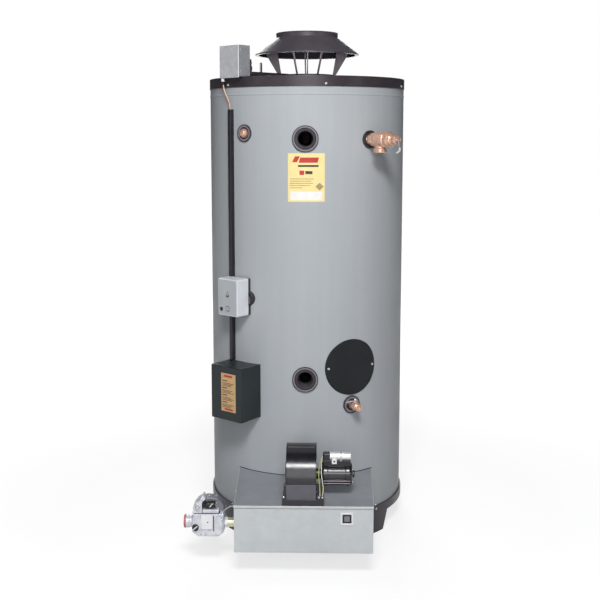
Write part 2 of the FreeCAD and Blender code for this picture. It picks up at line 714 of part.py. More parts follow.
def damper_leads():
    """Two leads from the bushing over the lid's edge into the raceway's upper end."""
    route = ((399.0, -50.4, 1738), (399.0, -50.4, 1712), (397.0, -49.0, 1690), (393.5, -47.0, 1664),
             (390.5, -46.1, 1640), (390.0, -45.9, 1612))
    leads = []
    for side in (-0.33, 0.33):
        leads.append(lead([(*place(r, azimuth + side), z) for r, azimuth, z in route], LEAD_R))
    return leads


# ---- draft hood ----
def draft_hood():
    """The spun hood: a short throat for the vent pipe over a wide cone with a turned-in rim."""
    r, t = HOOD_THROAT_R, HOOD_SHEET
    return [turned([
        (r, HOOD_TOP), (r, HOOD_THROAT_BOTTOM), (HOOD_RIM_R, HOOD_RIM_Z + 4), (HOOD_RIM_R, HOOD_RIM_Z),
        (HOOD_RIM_R - 14, HOOD_RIM_Z), (HOOD_RIM_R - 14, HOOD_RIM_Z + t),
        (HOOD_RIM_R - t, HOOD_RIM_Z + t), (HOOD_RIM_R - t, HOOD_RIM_Z + 3.4),
        (r - t, HOOD_THROAT_BOTTOM - 0.6), (r - t, HOOD_TOP),
    ])]


def draft_hood_struts():
    """Two broad side plates and four narrow stays that hold the hood over the collar."""
    r, t = HOOD_THROAT_R, HOOD_SHEET
    inside = turned([(0, COLLAR_TOP), (HOOD_RIM_R - t, COLLAR_TOP), (HOOD_RIM_R - t, HOOD_RIM_Z + 3.4),
                     (r - t, HOOD_THROAT_BOTTOM - 0.6), (0, HOOD_THROAT_BOTTOM - 0.6)])
    broad = prism([(-1, -101, COLLAR_TOP), (-1, -114, COLLAR_TOP), (-1, -180, 1882), (-1, -126, 1920)], (2, 0, 0))
    narrow = prism([(-2.5, -102, COLLAR_TOP), (-2.5, -110, COLLAR_TOP), (-2.5, -172, 1890), (-2.5, -162, 1895)],
                   (5, 0, 0))
    rim = turned([(HOOD_RIM_R - 14, HOOD_RIM_Z), (HOOD_RIM_R, HOOD_RIM_Z), (HOOD_RIM_R, HOOD_RIM_Z + t),
                  (HOOD_RIM_R - 14, HOOD_RIM_Z + t)])
    plates = [around(broad, azimuth) for azimuth in (90, -90)]
    stays = [around(narrow, azimuth) for azimuth in (-2, 158, 180, 202)]
    return [cut(shape.common(inside), rim) for shape in plates + stays]


# ---- burner box ----
def box_outline(z, inset=0.0):
    """The box's plan, widening slightly towards the jacket, at one height."""
    back = -sqrt(JACKET_R**2 - BOX_HALF_BACK**2) + 30
    return [
        (-BOX_HALF_FRONT + inset, BOX_FRONT + inset, z), (BOX_HALF_FRONT - inset, BOX_FRONT + inset, z),
        (BOX_HALF_BACK - inset, back, z), (-BOX_HALF_BACK + inset, back, z),
    ]


SIGHT_X = 150.0
SIGHT_Z = 223.0
SIGHT_HALF = 14.0


def burner_box_shell():
    """The folded sheet front, sides and floor of the box, scribed to the jacket and the base ring."""
    low, top = BOX_Z[0], BOX_Z[1] - BOX_SHEET
    outer = prism(box_outline(low, BOX_SHEET), (0, 0, top - low))
    inner = prism(box_outline(low + BOX_SHEET, 2 * BOX_SHEET), (0, 0, top - low))
    window = block((SIGHT_X - SIGHT_HALF, SIGHT_X + SIGHT_HALF), (BOX_FRONT - 5, BOX_FRONT + 9),
                   (SIGHT_Z - SIGHT_HALF, SIGHT_Z + SIGHT_HALF))
    gas = rod(GAS_PIPE_R, (-300, GAS_Y, GAS_Z), (-200, GAS_Y, GAS_Z))
    return [cut(outer, inner, JACKET_BODY, RING_BODY, window, gas)]


def burner_box_top(lip=13.0):
    """The box's flat top with a lip turned down over the front and sides, open under the blower."""
    low, top = BOX_Z[1] - lip, BOX_Z[1]
    outer = prism(box_outline(low), (0, 0, top - low))
    inner = prism(box_outline(low, BOX_SHEET), (0, 0, lip - BOX_SHEET))
    throat = block((BLOWER_X[0] + 6, BLOWER_X[1] - 6), (-662, -592), (low - 5, top + 5))
    return [cut(outer, inner, JACKET_BODY, throat)]


def sight_port():
    """The pale square frame on the box's front and the glass behind it."""
    half = 22.5
    low, high = BOX_FRONT - 3, BOX_FRONT + BOX_SHEET
    frame = block((SIGHT_X - half, SIGHT_X + half), (low, high), (SIGHT_Z - half, SIGHT_Z + half))
    frame = rounded(frame, 4.0, lambda edge: direction(edge).y > 0.9)
    window = block((SIGHT_X - SIGHT_HALF, SIGHT_X + SIGHT_HALF), (low - 1, high + 1),
                   (SIGHT_Z - SIGHT_HALF, SIGHT_Z + SIGHT_HALF))
    glass = block((SIGHT_X - SIGHT_HALF, SIGHT_X + SIGHT_HALF), (high - 3, high - 0.5),
                  (SIGHT_Z - SIGHT_HALF, SIGHT_Z + SIGHT_HALF))
    return [frame.cut(window), glass]


# ---- burner ----
def burner():
    """The mixing tube and the closed burner head on a flange scribed to the jacket."""
    tube = rod(BURNER_R - 6, (0, -470, BURNER_Z), (0, -300, BURNER_Z))
    head = rod(BURNER_R, (0, -300, BURNER_Z), (0, -40, BURNER_Z))
    flange = outward(74, 350, 396, BURNER_Z).cut(JACKET_BODY)
    hollow = [rod(BURNER_R - 9, (0, -471, BURNER_Z), (0, -43, BURNER_Z))]
    rods = [rod(5.0, (x, -450, BURNER_Z), (x, -350, BURNER_Z)) for x in (-55, 55)]
    return [cut(fuse(tube, head, flange), *hollow, *rods)]


def igniter_and_flame_rod():
    """The spark igniter and the flame sensor, one on each side of the burner head."""
    pair = []
    for x in (-55, 55):
        ceramic = rod(5.0, (x, -430, BURNER_Z), (x, -330, BURNER_Z))
        pair.append(fuse(ceramic, rod(1.6, (x, -470, BURNER_Z), (x, -240, BURNER_Z))))
    return pair


# ---- blower and its motor ----
def volute(inset=0.0):
    """The blower's side view: four arcs that widen towards an outlet pointing down, in the YZ plane."""
    y, z, r, step = BLOWER_Y, BLOWER_Z, BLOWER_R - inset, VOLUTE_STEP
    x = BLOWER_X[0] + inset
    k = sqrt(0.5)

    def quarter(cy, cz, radius, a, b):
        """An arc about (cy, cz) from one compass direction to the next."""
        middle = ((a[0] + b[0]) * k, (a[1] + b[1]) * k)
        ends = [Vector(x, cy + radius * d[0], cz + radius * d[1]) for d in (a, middle, b)]
        return Part.Arc(*ends).toShape()

    front, up, back, down = (-1, 0), (0, 1), (1, 0), (0, -1)
    arcs = [
        quarter(y, z, r, front, up),
        quarter(y, z + step, r - step, up, back),
        quarter(y + step, z + step, r - 2 * step, back, down),
    ]
    tongue = y - 22 - inset
    floor = z + step - (r - 2 * step)
    mouth = floor - 2 * inset
    corners = [Vector(x, y + step, floor), Vector(x, tongue, floor), Vector(x, tongue, mouth)]
    corners += [Vector(x, y - r, mouth), Vector(x, y - r, z)]
    corners = [c for c, before in zip(corners, [None] + corners) if c != before]
    lines = [Part.LineSegment(a, b).toShape() for a, b in zip(corners, corners[1:])]
    face = Part.Face(Part.Wire(arcs + lines))
    return face.extrude(Vector(BLOWER_X[1] - BLOWER_X[0] - 2 * inset, 0, 0))


def blower_housing():
    """The scroll casing, with its air inlet on one side and the motor's opening on the other."""
    y, z = BLOWER_Y, BLOWER_Z
    inlet = rod(42, (BLOWER_X[0] - 5, y, z), (BLOWER_X[0] + 5, y, z))
    inlet_ring = pipe(46, 42, (BLOWER_X[0] - 4, y, z), (BLOWER_X[0], y, z))
    shaft = rod(8, (BLOWER_X[1] - 5, y, z), (BLOWER_X[1] + 5, y, z))
    seam = volute_band()
    return [cut(fuse(volute(), inlet_ring, seam), volute(2.0), inlet, shaft)]


def volute_band():
    """The folded seam that stands proud round each edge of the scroll's curved wall."""
    x0, x1 = BLOWER_X
    y, z, r = BLOWER_Y, BLOWER_Z, BLOWER_R + 1.5
    ring = [rod(r, (x, y, z), (x + 3, y, z)) for x in (x0, x1 - 3)]
    upper_front = block((x0 - 1, x1 + 1), (y - r - 1, y), (z, z + r + 1))
    return fuse(*ring).common(upper_front)


def blower_flange():
    """The blower's foot on the box, with a front plate whose ends stand up as ears."""
    low, top = BOX_Z[1], BOX_Z[1] + FLANGE_THICKNESS
    x0, x1 = BLOWER_X[0] - 13, BLOWER_X[1] + 26
    foot = block((x0, x1), (-675, -470), (low, top))
    hole = block((BLOWER_X[0] + 2, BLOWER_X[1] - 2), (-668, -586), (low - 1, top + 1))
    front = prism([
        (x0, -677, low), (x1, -677, low), (x1, -677, low + 36), (BLOWER_X[1] + 1, -677, low + 36),
        (BLOWER_X[1] + 1, -677, low + 19), (BLOWER_X[0] - 1, -677, low + 19), (BLOWER_X[0] - 1, -677, low + 36),
        (x0 + 3, -677, low + 36),
    ], (0, 2.5, 0))
    gussets = [block((x, x + 2.5), (-675, -600), (top, low + 30)) for x in (BLOWER_X[1] + 1, x1 - 2.5)]
    return [fuse(foot.cut(hole), front, *gussets)]


def blower_wheel():
    """The squirrel-cage wheel: a back plate, a rim and curved blades round the shaft's hub."""
    y, z = BLOWER_Y, BLOWER_Z
    x0, x1 = BLOWER_X[0] + 8, BLOWER_X[1] - 10
    plate = rod(WHEEL_R, (x1 - 2, y, z), (x1, y, z))
    rim = pipe(WHEEL_R, WHEEL_R - 8, (x0, y, z), (x0 + 3, y, z))
    hub = rod(10, (x1 - 22, y, z), (x1, y, z))
    blade = block((x0, x1), (y - WHEEL_R + 0.5, y - WHEEL_R + 8.5), (z - 0.9, z + 0.9))
    blades = []
    for i in range(24):
        piece = blade.copy()
        piece.rotate(Vector(0, y - WHEEL_R + 4, z), Vector(1, 0, 0), 35)
        piece.rotate(Vector(0, y, z), Vector(1, 0, 0), 15 * i)
        blades.append(piece)
    bore = rod(5, (x0 - 1, y, z), (x1 + 1, y, z))
    return [fuse(plate, rim, hub, *blades).cut(bore)]


def motor_rotor():
    """The motor's rotor on the shaft that the wheel is fixed to."""
    y, z = BLOWER_Y, BLOWER_Z
    shaft = rod(5, (BLOWER_X[1] - 32, y, z), (MOTOR_X[1] - 4, y, z))
    return [fuse(shaft, rod(24, (85, y, z), (145, y, z)))]


def motor_shell():
    """The motor's round casing, with end bells, a side boss and the bracket that carries the capacitor."""
    y, z = BLOWER_Y, BLOWER_Z
    x0, x1 = MOTOR_X
    barrel = rod(MOTOR_R - 1.5, (x0, y, z), (x1, y, z))
    bells = [rod(MOTOR_R, (x0, y, z), (x0 + 24, y, z)), rod(MOTOR_R, (x1 - 24, y, z), (x1 - 2, y, z))]
    ribs = []
    for angle in (150, 165, 180, 195, 210):
        rib = block((x0 + 20, x1 - 20), (y + MOTOR_R - 3, y + MOTOR_R), (z - 1.2, z + 1.2))
        rib.rotate(Vector(0, y, z), Vector(1, 0, 0), angle)
        ribs.append(rib)
    boss = rod(13, (x1, y, z), (x1 + 7, y, z))
    mount = rod(18, (BLOWER_X[1], y, z), (x0, y, z))
    bracket = block((x0 + 4, x1 - 4), (y - 24, y + 24), (z + 20, z + 53))
    outer = fuse(barrel, *bells, *ribs, boss, mount, bracket)
    cavity = rod(28, (x0 + 6, y, z), (x1 - 14, y, z))
    bore = rod(5 + RUNNING_GAP, (BLOWER_X[1] - 5, y, z), (x1 - 3, y, z))
    return [cut(outer, cavity, bore)]


CAP_Y = -572.0
CAP_Z = 411.0
CAP_R = 14.5


def capacitor():
    """The run capacitor's can, and the rubber boot over its terminals, bored for the two leads."""
    can = rod(CAP_R, (92, CAP_Y, CAP_Z), (164, CAP_Y, CAP_Z))
    bead = rod(CAP_R + 0.4, (94, CAP_Y, CAP_Z), (97, CAP_Y, CAP_Z))
    boot = rounded(block((66, 92), (CAP_Y - 15, CAP_Y + 15), (CAP_Z - 15, CAP_Z + 13)), 5.0,
                   lambda edge: direction(edge).x > 0.9)
    entries = [rod(LEAD_R + 0.2, (70.7, -577.6, 403.2), (64, -583.9, 400.1)),
               rod(LEAD_R + 0.2, (69.6, -572.8, 412.8), (64, -584, 410))]
    return [fuse(can, bead), cut(boot, *entries)]


def motor_leads():
    """Two leads from the terminal boot down to the ground screws on the blower's foot."""
    ear = BOX_Z[1] + 36
    first = [(69, -579.2, 402.4), (57.5, -590, 397), (53, -610, 380), (51.5, -630, 358), (54, -648, 335),
             (57, -664, 318), (56, -673, ear)]
    second = [(68.4, -575.2, 412.2), (60, -592, 408), (61.5, -613, 391), (61, -628, 366), (64.5, -644, 343),
              (69, -662, 321), (65, -673.5, ear)]
    return [lead(first, LEAD_R), lead(second, LEAD_R)]


# ---- gas train ----
KNOB_Y = -590.0
KNOB_Z = 236.0
KNOB_R = 13.0


def gas_valve_body():
    """The cast body of the gas valve: a bevelled block with threaded bosses and housings on top."""
    y, z = GAS_Y, GAS_Z
    main = prism([
        (-376, -606, 122), (-305, -606, 122), (-284, -606, 138), (-284, -606, 206), (-392, -606, 206),
        (-397, -606, 180), (-397, -606, 136),
    ], (0, 92, 0))
    inlet = rod(23, (-430, y, z + 3), (-397, y, z + 3))
    lobe = prism([(-312, -614, 128), (-290, -614, 136), (-286, -614, 190), (-300, -614, 204), (-312, -614, 196)],
                 (0, 10, 0))
    tower = block((-390, -360), (-604, -540), (206, 246))
    dome_seat = rod(20, (-294, -560, 206), (-294, -560, 232))
    dome = Part.makeSphere(20, Vector(-294, -560, 232))
    bridge = block((-362, -300), (-572, -525), (206, 236))
    thread = rod(GAS_THREAD_R, (-431, y, z + 3), (-405, y, z + 3))
    knob = rod(4 + RUNNING_GAP, (-372, KNOB_Y, KNOB_Z), (-350, KNOB_Y, KNOB_Z))
    outlet = rod(GAS_PIPE_R, (-300, y, z), (-280, y, z))
    return [cut(fuse(main, inlet, lobe, tower, dome_seat, dome, bridge), thread, knob, outlet)]


def gas_knob():
    """The black manual shut-off knob, with a raised pointer bar across its end."""
    body = rod(KNOB_R, (-356, KNOB_Y, KNOB_Z), (-314, KNOB_Y, KNOB_Z))
    bar = block((-314, -310.5), (KNOB_Y - 3, KNOB_Y + 3), (KNOB_Z - 11, KNOB_Z + 11))
    stem = rod(4, (-370, KNOB_Y, KNOB_Z), (-356, KNOB_Y, KNOB_Z))
    bar.rotate(Vector(0, KNOB_Y, KNOB_Z), Vector(1, 0, 0), -35)
    return [fuse(body, bar, stem)]


def gas_valve_caps():
    """The regulator's cap, the wire cover's peak and the round plug low on the front."""
    regulator = rod(11, (-375, -609, 230), (-375, -604, 230))
    peak = prism([(-372, -590, 246), (-340, -590, 246), (-346, -590, 254), (-357, -590, 268)], (0, 40, 0))
    peak = peak.cut(block((-360, -300), (-600, -571), (240, 251)))
    plug = fuse(rod(12, (-385, -612, 156), (-385, -606, 156)), block((-387.5, -382.5), (-614, -611), (146, 166)))
    return [regulator, peak, plug]


def gas_pipe():
    """The nipple from the valve into the box, its locknut, and the orifice that faces the burner."""
    y, z = GAS_Y, GAS_Z
    nipple = rod(GAS_PIPE_R, (-300, y, z), (0, y, z))
    orifice = fuse(rod(12, (0, y, z), (0, y + 60, z + 18)), Part.makeSphere(GAS_PIPE_R, Vector(0, y, z)))
    locknut = pipe(19, GAS_PIPE_R, (-284, y, z), (-273, y, z))
    return [fuse(nipple, orifice), locknut]


def sensing_tube():
    """The thin pressure tube from the valve to the box's side, near its upper front corner."""
    side = -BOX_HALF_FRONT - 0.55
    route = [(-287, -600, 206), (-287, -600, 215), (-277, -610, 226), (-265, -622, 239), (-254, -634, 248),
             (side, -643, 251)]
    return [lead(route, 2.2)]


NODES = {
    "base_ring": lambda: [cut(base_ring(), *screw_holes(375, 389))],
    "legs": legs,
    "jacket": lambda: [cut(jacket(), *screw_holes(370, 383))],
    "jacket_lid": lambda: [cut(jacket_lid(), *screw_holes(375, 384))],
    "jacket_screws": jacket_screws,
    "insulation": insulation,
    "tank_shell": lambda: [tank_shell()],
    "tank_heads": tank_heads,
    "flue_tubes": flue_tubes,
    "flue_baffles": flue_baffles,
    "flue_collector": flue_collector,
    "anode_rods": anode_rods,
    "tank_spuds": tank_spuds,
    "cold_inlet_tube": cold_inlet_tube,
    "port_trim_rings": port_trim_rings,
    "port_plug": port_plug,
    "relief_valve_body": relief_valve_body,
    "relief_valve_bonnet": relief_valve_bonnet,
    "relief_stem": relief_stem,
    "relief_lever": relief_lever,
    "drain_valve_body": drain_valve_body,
    "drain_handle": drain_handle,
    "cleanout_cover": cleanout_cover,
    "handhole_flange": handhole_flange,
    "handhole_plate": handhole_plate,
    "wire_raceway": wire_raceway,
    "thermostat_base": thermostat_base,
    "thermostat_cover": thermostat_cover,
    "thermostat_body": thermostat_body,
    "reset_button": reset_button,
    "control_box_body": control_box_body,
    "control_box_cover": control_box_cover,
    "control_modules": control_modules,
    "damper_box_base": damper_box_base,
    "damper_box_cover": damper_box_cover,
    "damper_motor": damper_motor,
    "damper_bracket": damper_bracket,
    "damper_blade": damper_blade,
    "conduit_fitting": conduit_fitting,
    "damper_leads": damper_leads,
    "draft_hood": draft_hood,
    "draft_hood_struts": draft_hood_struts,
    "burner_box_shell": burner_box_shell,
    "burner_box_top": burner_box_top,
    "sight_port": sight_port,
    "burner": burner,
    "igniter_and_flame_rod": igniter_and_flame_rod,
    "blower_housing": blower_housing,
    "blower_flange": blower_flange,
    "blower_wheel": blower_wheel,
    "motor_shell": motor_shell,
    "motor_rotor": motor_rotor,
    "capacitor": capacitor,
    "motor_leads": motor_leads,
    "gas_valve_body": gas_valve_body,
    "gas_valve_caps": gas_valve_caps,
    "gas_knob": gas_knob,
    "gas_pipe": gas_pipe,
    "sensing_tube": sensing_tube,
}

os.makedirs("parts", exist_ok=True)
for name, make in NODES.items():
    solids = [solid for shape in make() for solid in shape.Solids]
    if not all(solid.isValid() and solid.Volume > 0 for solid in solids):
        print("not a valid solid:", name)
    Part.makeCompound(solids).exportStep("parts/" + name + ".step")
    print("%-24s %d solids" % (name, len(solids)))
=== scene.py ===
"""The looks of the tank water heater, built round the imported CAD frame. Metres, -Y is the front."""

import json
import math

import bmesh
import bpy
from mathutils import Matrix, Vector


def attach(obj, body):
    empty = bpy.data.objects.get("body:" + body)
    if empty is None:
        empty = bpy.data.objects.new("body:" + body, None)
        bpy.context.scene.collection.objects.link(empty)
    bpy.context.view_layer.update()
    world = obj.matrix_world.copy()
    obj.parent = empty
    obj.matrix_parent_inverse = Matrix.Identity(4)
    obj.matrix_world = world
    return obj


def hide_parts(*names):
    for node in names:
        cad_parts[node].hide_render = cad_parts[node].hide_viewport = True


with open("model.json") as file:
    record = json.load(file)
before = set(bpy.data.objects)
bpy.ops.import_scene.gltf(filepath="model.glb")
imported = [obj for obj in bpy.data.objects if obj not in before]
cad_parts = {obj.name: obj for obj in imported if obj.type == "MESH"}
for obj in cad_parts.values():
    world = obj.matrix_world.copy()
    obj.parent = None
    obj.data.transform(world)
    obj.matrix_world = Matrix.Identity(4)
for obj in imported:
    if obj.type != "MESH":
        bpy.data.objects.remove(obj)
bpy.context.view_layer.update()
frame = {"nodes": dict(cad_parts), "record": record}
MM = 0.001


# ---- camera, light and floor ----
CAMERA_DISTANCE = 3.893
CAMERA_HEIGHT = 1.55
CAMERA_AZIMUTH = 0.9
CAMERA_YAW = 0.408
CAMERA_TILT = 7.08
LENS, SENSOR, SHIFT = 58.21, 36.0, -0.08
ROOM_COLOUR, ROOM_STRENGTH = (0.93, 0.95, 1.0, 1), 0.07
WHITE = (1, 1, 1, 1)
FLOOR_HALF = 14.0
FLOOR_GREY = (0.42, 0.42, 0.42, 1)
GLOSS_SHARE = 0.8
LIGHTS = (
    ("key", (0.12, -4.0, 4.1), 1.0, (1.4, 0.9), 152, True),
    ("fill", (0.0, -4.9, 1.75), 1.05, (3.2, 2.6), 68, True),
    ("back_key", (-0.4, 4.3, 3.4), 1.0, (2.4, 1.6), 74, True),
    ("back_fill", (0.3, 4.8, 1.2), 1.0, (2.4, 1.6), 34, True),
    ("left_strip", (-2.6, -1.9, 1.5), 1.0, (0.5, 2.4), 6, False),
    ("right_strip", (2.6, -1.7, 1.5), 1.0, (0.5, 2.4), 4, False),
)


def placed(name, data):
    """An object in the scene that holds the data."""
    made = bpy.data.objects.new(name, data)
    bpy.context.scene.collection.objects.link(made)
    return made


def make_camera():
    """A raised camera just right of the front that looks slightly down."""
    data = bpy.data.cameras.new("camera")
    data.lens, data.sensor_width, data.shift_y = LENS, SENSOR, SHIFT
    camera = placed("camera", data)
    azimuth = math.radians(CAMERA_AZIMUTH)
    across, back = CAMERA_DISTANCE * math.sin(azimuth), -CAMERA_DISTANCE * math.cos(azimuth)
    camera.location = (across, back, CAMERA_HEIGHT)
    heading = math.radians(CAMERA_AZIMUTH + CAMERA_YAW)
    camera.rotation_euler = (math.radians(90 - CAMERA_TILT), 0, heading)
    bpy.context.scene.camera = camera


def make_lights():
    """A high key and a level fill in front, a softer pair behind, and strips that only gloss picks up."""
    for name, spot, aim, size, power, diffuse in LIGHTS:
        data = bpy.data.lights.new(name, "AREA")
        data.shape = "RECTANGLE"
        data.size, data.size_y = size
        data.energy = power
        light = placed(name, data)
        light.location = spot
        light.rotation_euler = (Vector((0, 0, aim)) - Vector(spot)).to_track_quat("-Z", "Y").to_euler()
        light.visible_camera = False
        light.visible_diffuse = diffuse


def add_node(tree, kind, inputs=(), **settings):
    """A node in a tree, with its inputs linked or set, in order or by name."""
    made = tree.nodes.new(kind)
    for setting, value in settings.items():
        setattr(made, setting, value)
    for socket, value in dict(inputs).items():
        if isinstance(value, bpy.types.NodeSocket):
            tree.links.new(value, made.inputs[socket])
        else:
            made.inputs[socket].default_value = value
    return made


def make_world():
    """A dim grey room round the object, with a white backdrop where the camera looks past it."""
    world = bpy.data.worlds.new("studio")
    bpy.context.scene.world = world
    world.use_nodes = True
    tree = world.node_tree
    tree.nodes.clear()
    path = add_node(tree, "ShaderNodeLightPath")
    room = add_node(tree, "ShaderNodeBackground", {"Color": ROOM_COLOUR, "Strength": ROOM_STRENGTH})
    backdrop = add_node(tree, "ShaderNodeBackground", {"Color": WHITE, "Strength": 1.0})
    mix = add_node(tree, "ShaderNodeMixShader", {
        0: path.outputs["Is Camera Ray"], 1: room.outputs[0], 2: backdrop.outputs[0],
    })
    add_node(tree, "ShaderNodeOutputWorld", {"Surface": mix.outputs[0]})


def make_floor():
    """A plain pale floor, evened out to white away from the object's soft shadow. Gloss sees it too."""
    mesh = bpy.data.meshes.new("floor")
    corners = [(x * FLOOR_HALF, y * FLOOR_HALF, 0) for x, y in ((-1, -1), (1, -1), (1, 1), (-1, 1))]
    mesh.from_pydata(corners, [], [(0, 1, 2, 3)])
    floor = placed("floor", mesh)
    material = bpy.data.materials.new("floor")
    material.use_nodes = True
    tree = material.node_tree
    tree.nodes.clear()
    path = add_node(tree, "ShaderNodeLightPath")
    spot = add_node(tree, "ShaderNodeTexCoord")
    distance = add_node(tree, "ShaderNodeVectorMath", {0: spot.outputs["Object"]}, operation="LENGTH")
    reach = add_node(tree, "ShaderNodeMapRange", {
        "Value": distance.outputs["Value"], "From Min": 1.0, "From Max": 4.0, "To Min": 0.71, "To Max": 1.0,
    })
    seen = add_node(tree, "ShaderNodeMath", {
        0: path.outputs["Is Glossy Ray"], 1: GLOSS_SHARE, 2: path.outputs["Is Camera Ray"],
    }, operation="MULTIPLY_ADD")
    strength = add_node(tree, "ShaderNodeMath", {
        0: reach.outputs["Result"], 1: seen.outputs[0],
    }, operation="MULTIPLY")
    glow = add_node(tree, "ShaderNodeEmission", {"Strength": strength.outputs[0]})
    diffuse = add_node(tree, "ShaderNodeBsdfDiffuse", {"Color": FLOOR_GREY})
    both = add_node(tree, "ShaderNodeAddShader", {0: diffuse.outputs[0], 1: glow.outputs[0]})
    add_node(tree, "ShaderNodeOutputMaterial", {"Surface": both.outputs[0]})
    mesh.materials.append(material)


# ---- materials ----
def srgb(colour):
    """A colour on the 0 to 255 screen scale, as the linear values that nodes take."""
    screen = [value / 255 for value in colour]
    return (*[v / 12.92 if v <= 0.04045 else ((v + 0.055) / 1.055) ** 2.4 for v in screen], 1.0)


class Look:
    """A material made of nodes, whose textures sit still on the object."""

    def __init__(self, name, **constants):
        self.material = bpy.data.materials.new(name)
        self.material.use_nodes = True
        self.tree = self.material.node_tree
        self.shader = self.tree.nodes["Principled BSDF"]
        for socket, value in constants.items():
            self.shader.inputs[socket.replace("_", " ")].default_value = value
        self.place = self.node("ShaderNodeTexCoord", {}).outputs["Object"]

    def node(self, kind, inputs, **settings):
        return add_node(self.tree, kind, inputs, **settings)

    def noise(self, scale, detail=3.0, stretch=(1, 1, 1), distortion=0.0):
        """Cloudy noise with that many features to a metre, stretched along the axes."""
        mapping = self.node("ShaderNodeMapping", {"Vector": self.place, "Scale": stretch})
        made = self.node("ShaderNodeTexNoise", {
            "Vector": mapping.outputs[0], "Scale": scale, "Detail": detail, "Distortion": distortion,
        })
        return made.outputs["Fac"]

    def spread(self, factor, low, high, start=0.3, end=0.7):
        """A factor stretched from one range to another."""
        made = self.node("ShaderNodeMapRange", {
            "Value": factor, "From Min": start, "From Max": end, "To Min": low, "To Max": high,
        })
        return made.outputs["Result"]

    def mix(self, factor, first, second):
        """Two colours mixed by a factor. Each is a link or a screen colour."""
        first, second = [srgb(c) if isinstance(c, tuple) else c for c in (first, second)]
        return self.node("ShaderNodeMix", {0: factor, 6: first, 7: second}, data_type="RGBA").outputs[2]

    def dust(self):
        """A film where the surface faces up, broken up by noise."""
        geometry = self.node("ShaderNodeNewGeometry", {})
        parts = self.node("ShaderNodeSeparateXYZ", {0: geometry.outputs["Normal"]})
        upward = self.spread(parts.outputs["Z"], 0, 1, 0.5, 1.0)
        film = self.spread(self.noise(9.0, 4.0), 0.15, 0.4)
        return self.node("ShaderNodeMath", {0: upward, 1: film}, operation="MULTIPLY").outputs[0]

    def finish(self, colour, rough, height, strength, distance=0.0002):
        """Links the colour, the roughness and the relief, whose height is in metres."""
        self.tree.links.new(colour, self.shader.inputs["Base Color"])
        if rough:
            self.tree.links.new(rough, self.shader.inputs["Roughness"])
        made = self.node("ShaderNodeBump", {"Height": height, "Strength": strength, "Distance": distance})
        self.tree.links.new(made.outputs[0], self.shader.inputs["Normal"])
        return self.material


def coating(name, light, dark, patch=5, grain=700, rough=(0.35, 0.5), relief=0.15, dust=None,
            **constants):
    """A paint, plastic or metal finish: clouded colour, uneven gloss and fine grain, with optional dust."""
    look = Look(name, **constants)
    shade = look.mix(look.spread(look.noise(patch, 4.0), 0, 1), dark, light)
    if dust:
        shade = look.mix(look.dust(), shade, dust)
    gloss = look.spread(look.noise(patch * 3.3, 5.0), *rough)
    return look.finish(shade, gloss, look.noise(grain, 2.0), relief)


def jacket_paint():
    """Baked grey enamel with a faint orange peel and long, barely seen roller streaks."""
    look = Look("jacket_paint", IOR=1.45, Specular_IOR_Level=0.35)
    streaks = look.noise(30.0, 3.0, stretch=(1, 1, 0.04))
    base = look.mix(look.spread(look.noise(2.2, 3.0), 0, 1), (179, 184, 189), (186, 190, 193))
    shade = look.mix(look.spread(streaks, 0, 0.35), base, (172, 178, 186))
    return look.finish(shade, look.spread(look.noise(9.0, 4.0), 0.42, 0.54), look.noise(260.0, 2.0), 0.1)


def galvanised(name, dark, light):
    """Zinc-coated sheet with its crystals, between two shades."""
    look = Look(name, Metallic=0.25)
    cells = look.node("ShaderNodeTexVoronoi", {"Vector": look.place, "Scale": 95.0})
    crystals = look.node("ShaderNodeSeparateColor", {0: cells.outputs["Color"]}).outputs[0]
    shade = look.mix(look.spread(look.noise(6.0), 0, 0.4), look.mix(crystals, dark, light), dark)
    return look.finish(shade, look.spread(crystals, 0.34, 0.5, 0, 1), look.noise(500.0), 0.08)


def box_sheet():
    """Grey paint over galvanised sheet, which leaves faint blotches."""
    look = Look("box_sheet", Specular_IOR_Level=0.35)
    blotches = look.noise(26.0, 5.0, distortion=0.6)
    base = look.mix(look.spread(blotches, 0, 1), (203, 208, 210), (213, 218, 220))
    shade = look.mix(look.spread(look.noise(5.0), 0, 0.4), base, (198, 203, 206))
    return look.finish(shade, look.spread(blotches, 0.44, 0.56), look.noise(240.0, 3.0), 0.12)


def capacitor_can():
    """Drawn aluminium can, brushed round."""
    look = Look("capacitor_can", Metallic=0.6)
    lines = look.noise(900.0, 2.0, stretch=(0.03, 1, 1))
    shade = look.mix(look.spread(lines, 0, 1), (232, 232, 236), (246, 246, 248))
    return look.finish(shade, look.spread(lines, 0.22, 0.34), lines, 0.06, 0.0001)


def zinc_pipe():
    """Yellow-passivated pipe."""
    look = Look("zinc_pipe", Metallic=0.5)
    tarnish = look.spread(look.noise(45.0, 3.0, distortion=1.0), 0, 1)
    shade = look.mix(tarnish, (214, 212, 176), (236, 234, 208))
    return look.finish(shade, look.spread(look.noise(160.0), 0.22, 0.34), look.noise(700.0), 0.12)


def insulation_blanket():
    """Glass wool, fibrous and yellow."""
    look = Look("insulation_blanket", Roughness=0.95)
    fibres = look.noise(240.0, 6.0, stretch=(1, 1, 0.3), distortion=1.5)
    shade = look.mix(look.spread(fibres, 0, 1), (222, 196, 120), (246, 232, 176))
    return look.finish(shade, None, fibres, 0.8, 0.002)


STEEL = dict(patch=18, grain=500, rough=(0.5, 0.7), relief=0.3, Metallic=0.5)
CAST = dict(patch=38, grain=900, Metallic=0.2)
COVER = dict(patch=12, grain=1200, rough=(0.34, 0.46), relief=0.12)
INK = dict(patch=40, grain=2000, rough=(0.34, 0.46), relief=0.05)
WIRE = dict(patch=60, grain=1500, rough=(0.28, 0.4), relief=0.08)
ENAMEL = dict(patch=7, rough=(0.3, 0.42), relief=0.1)
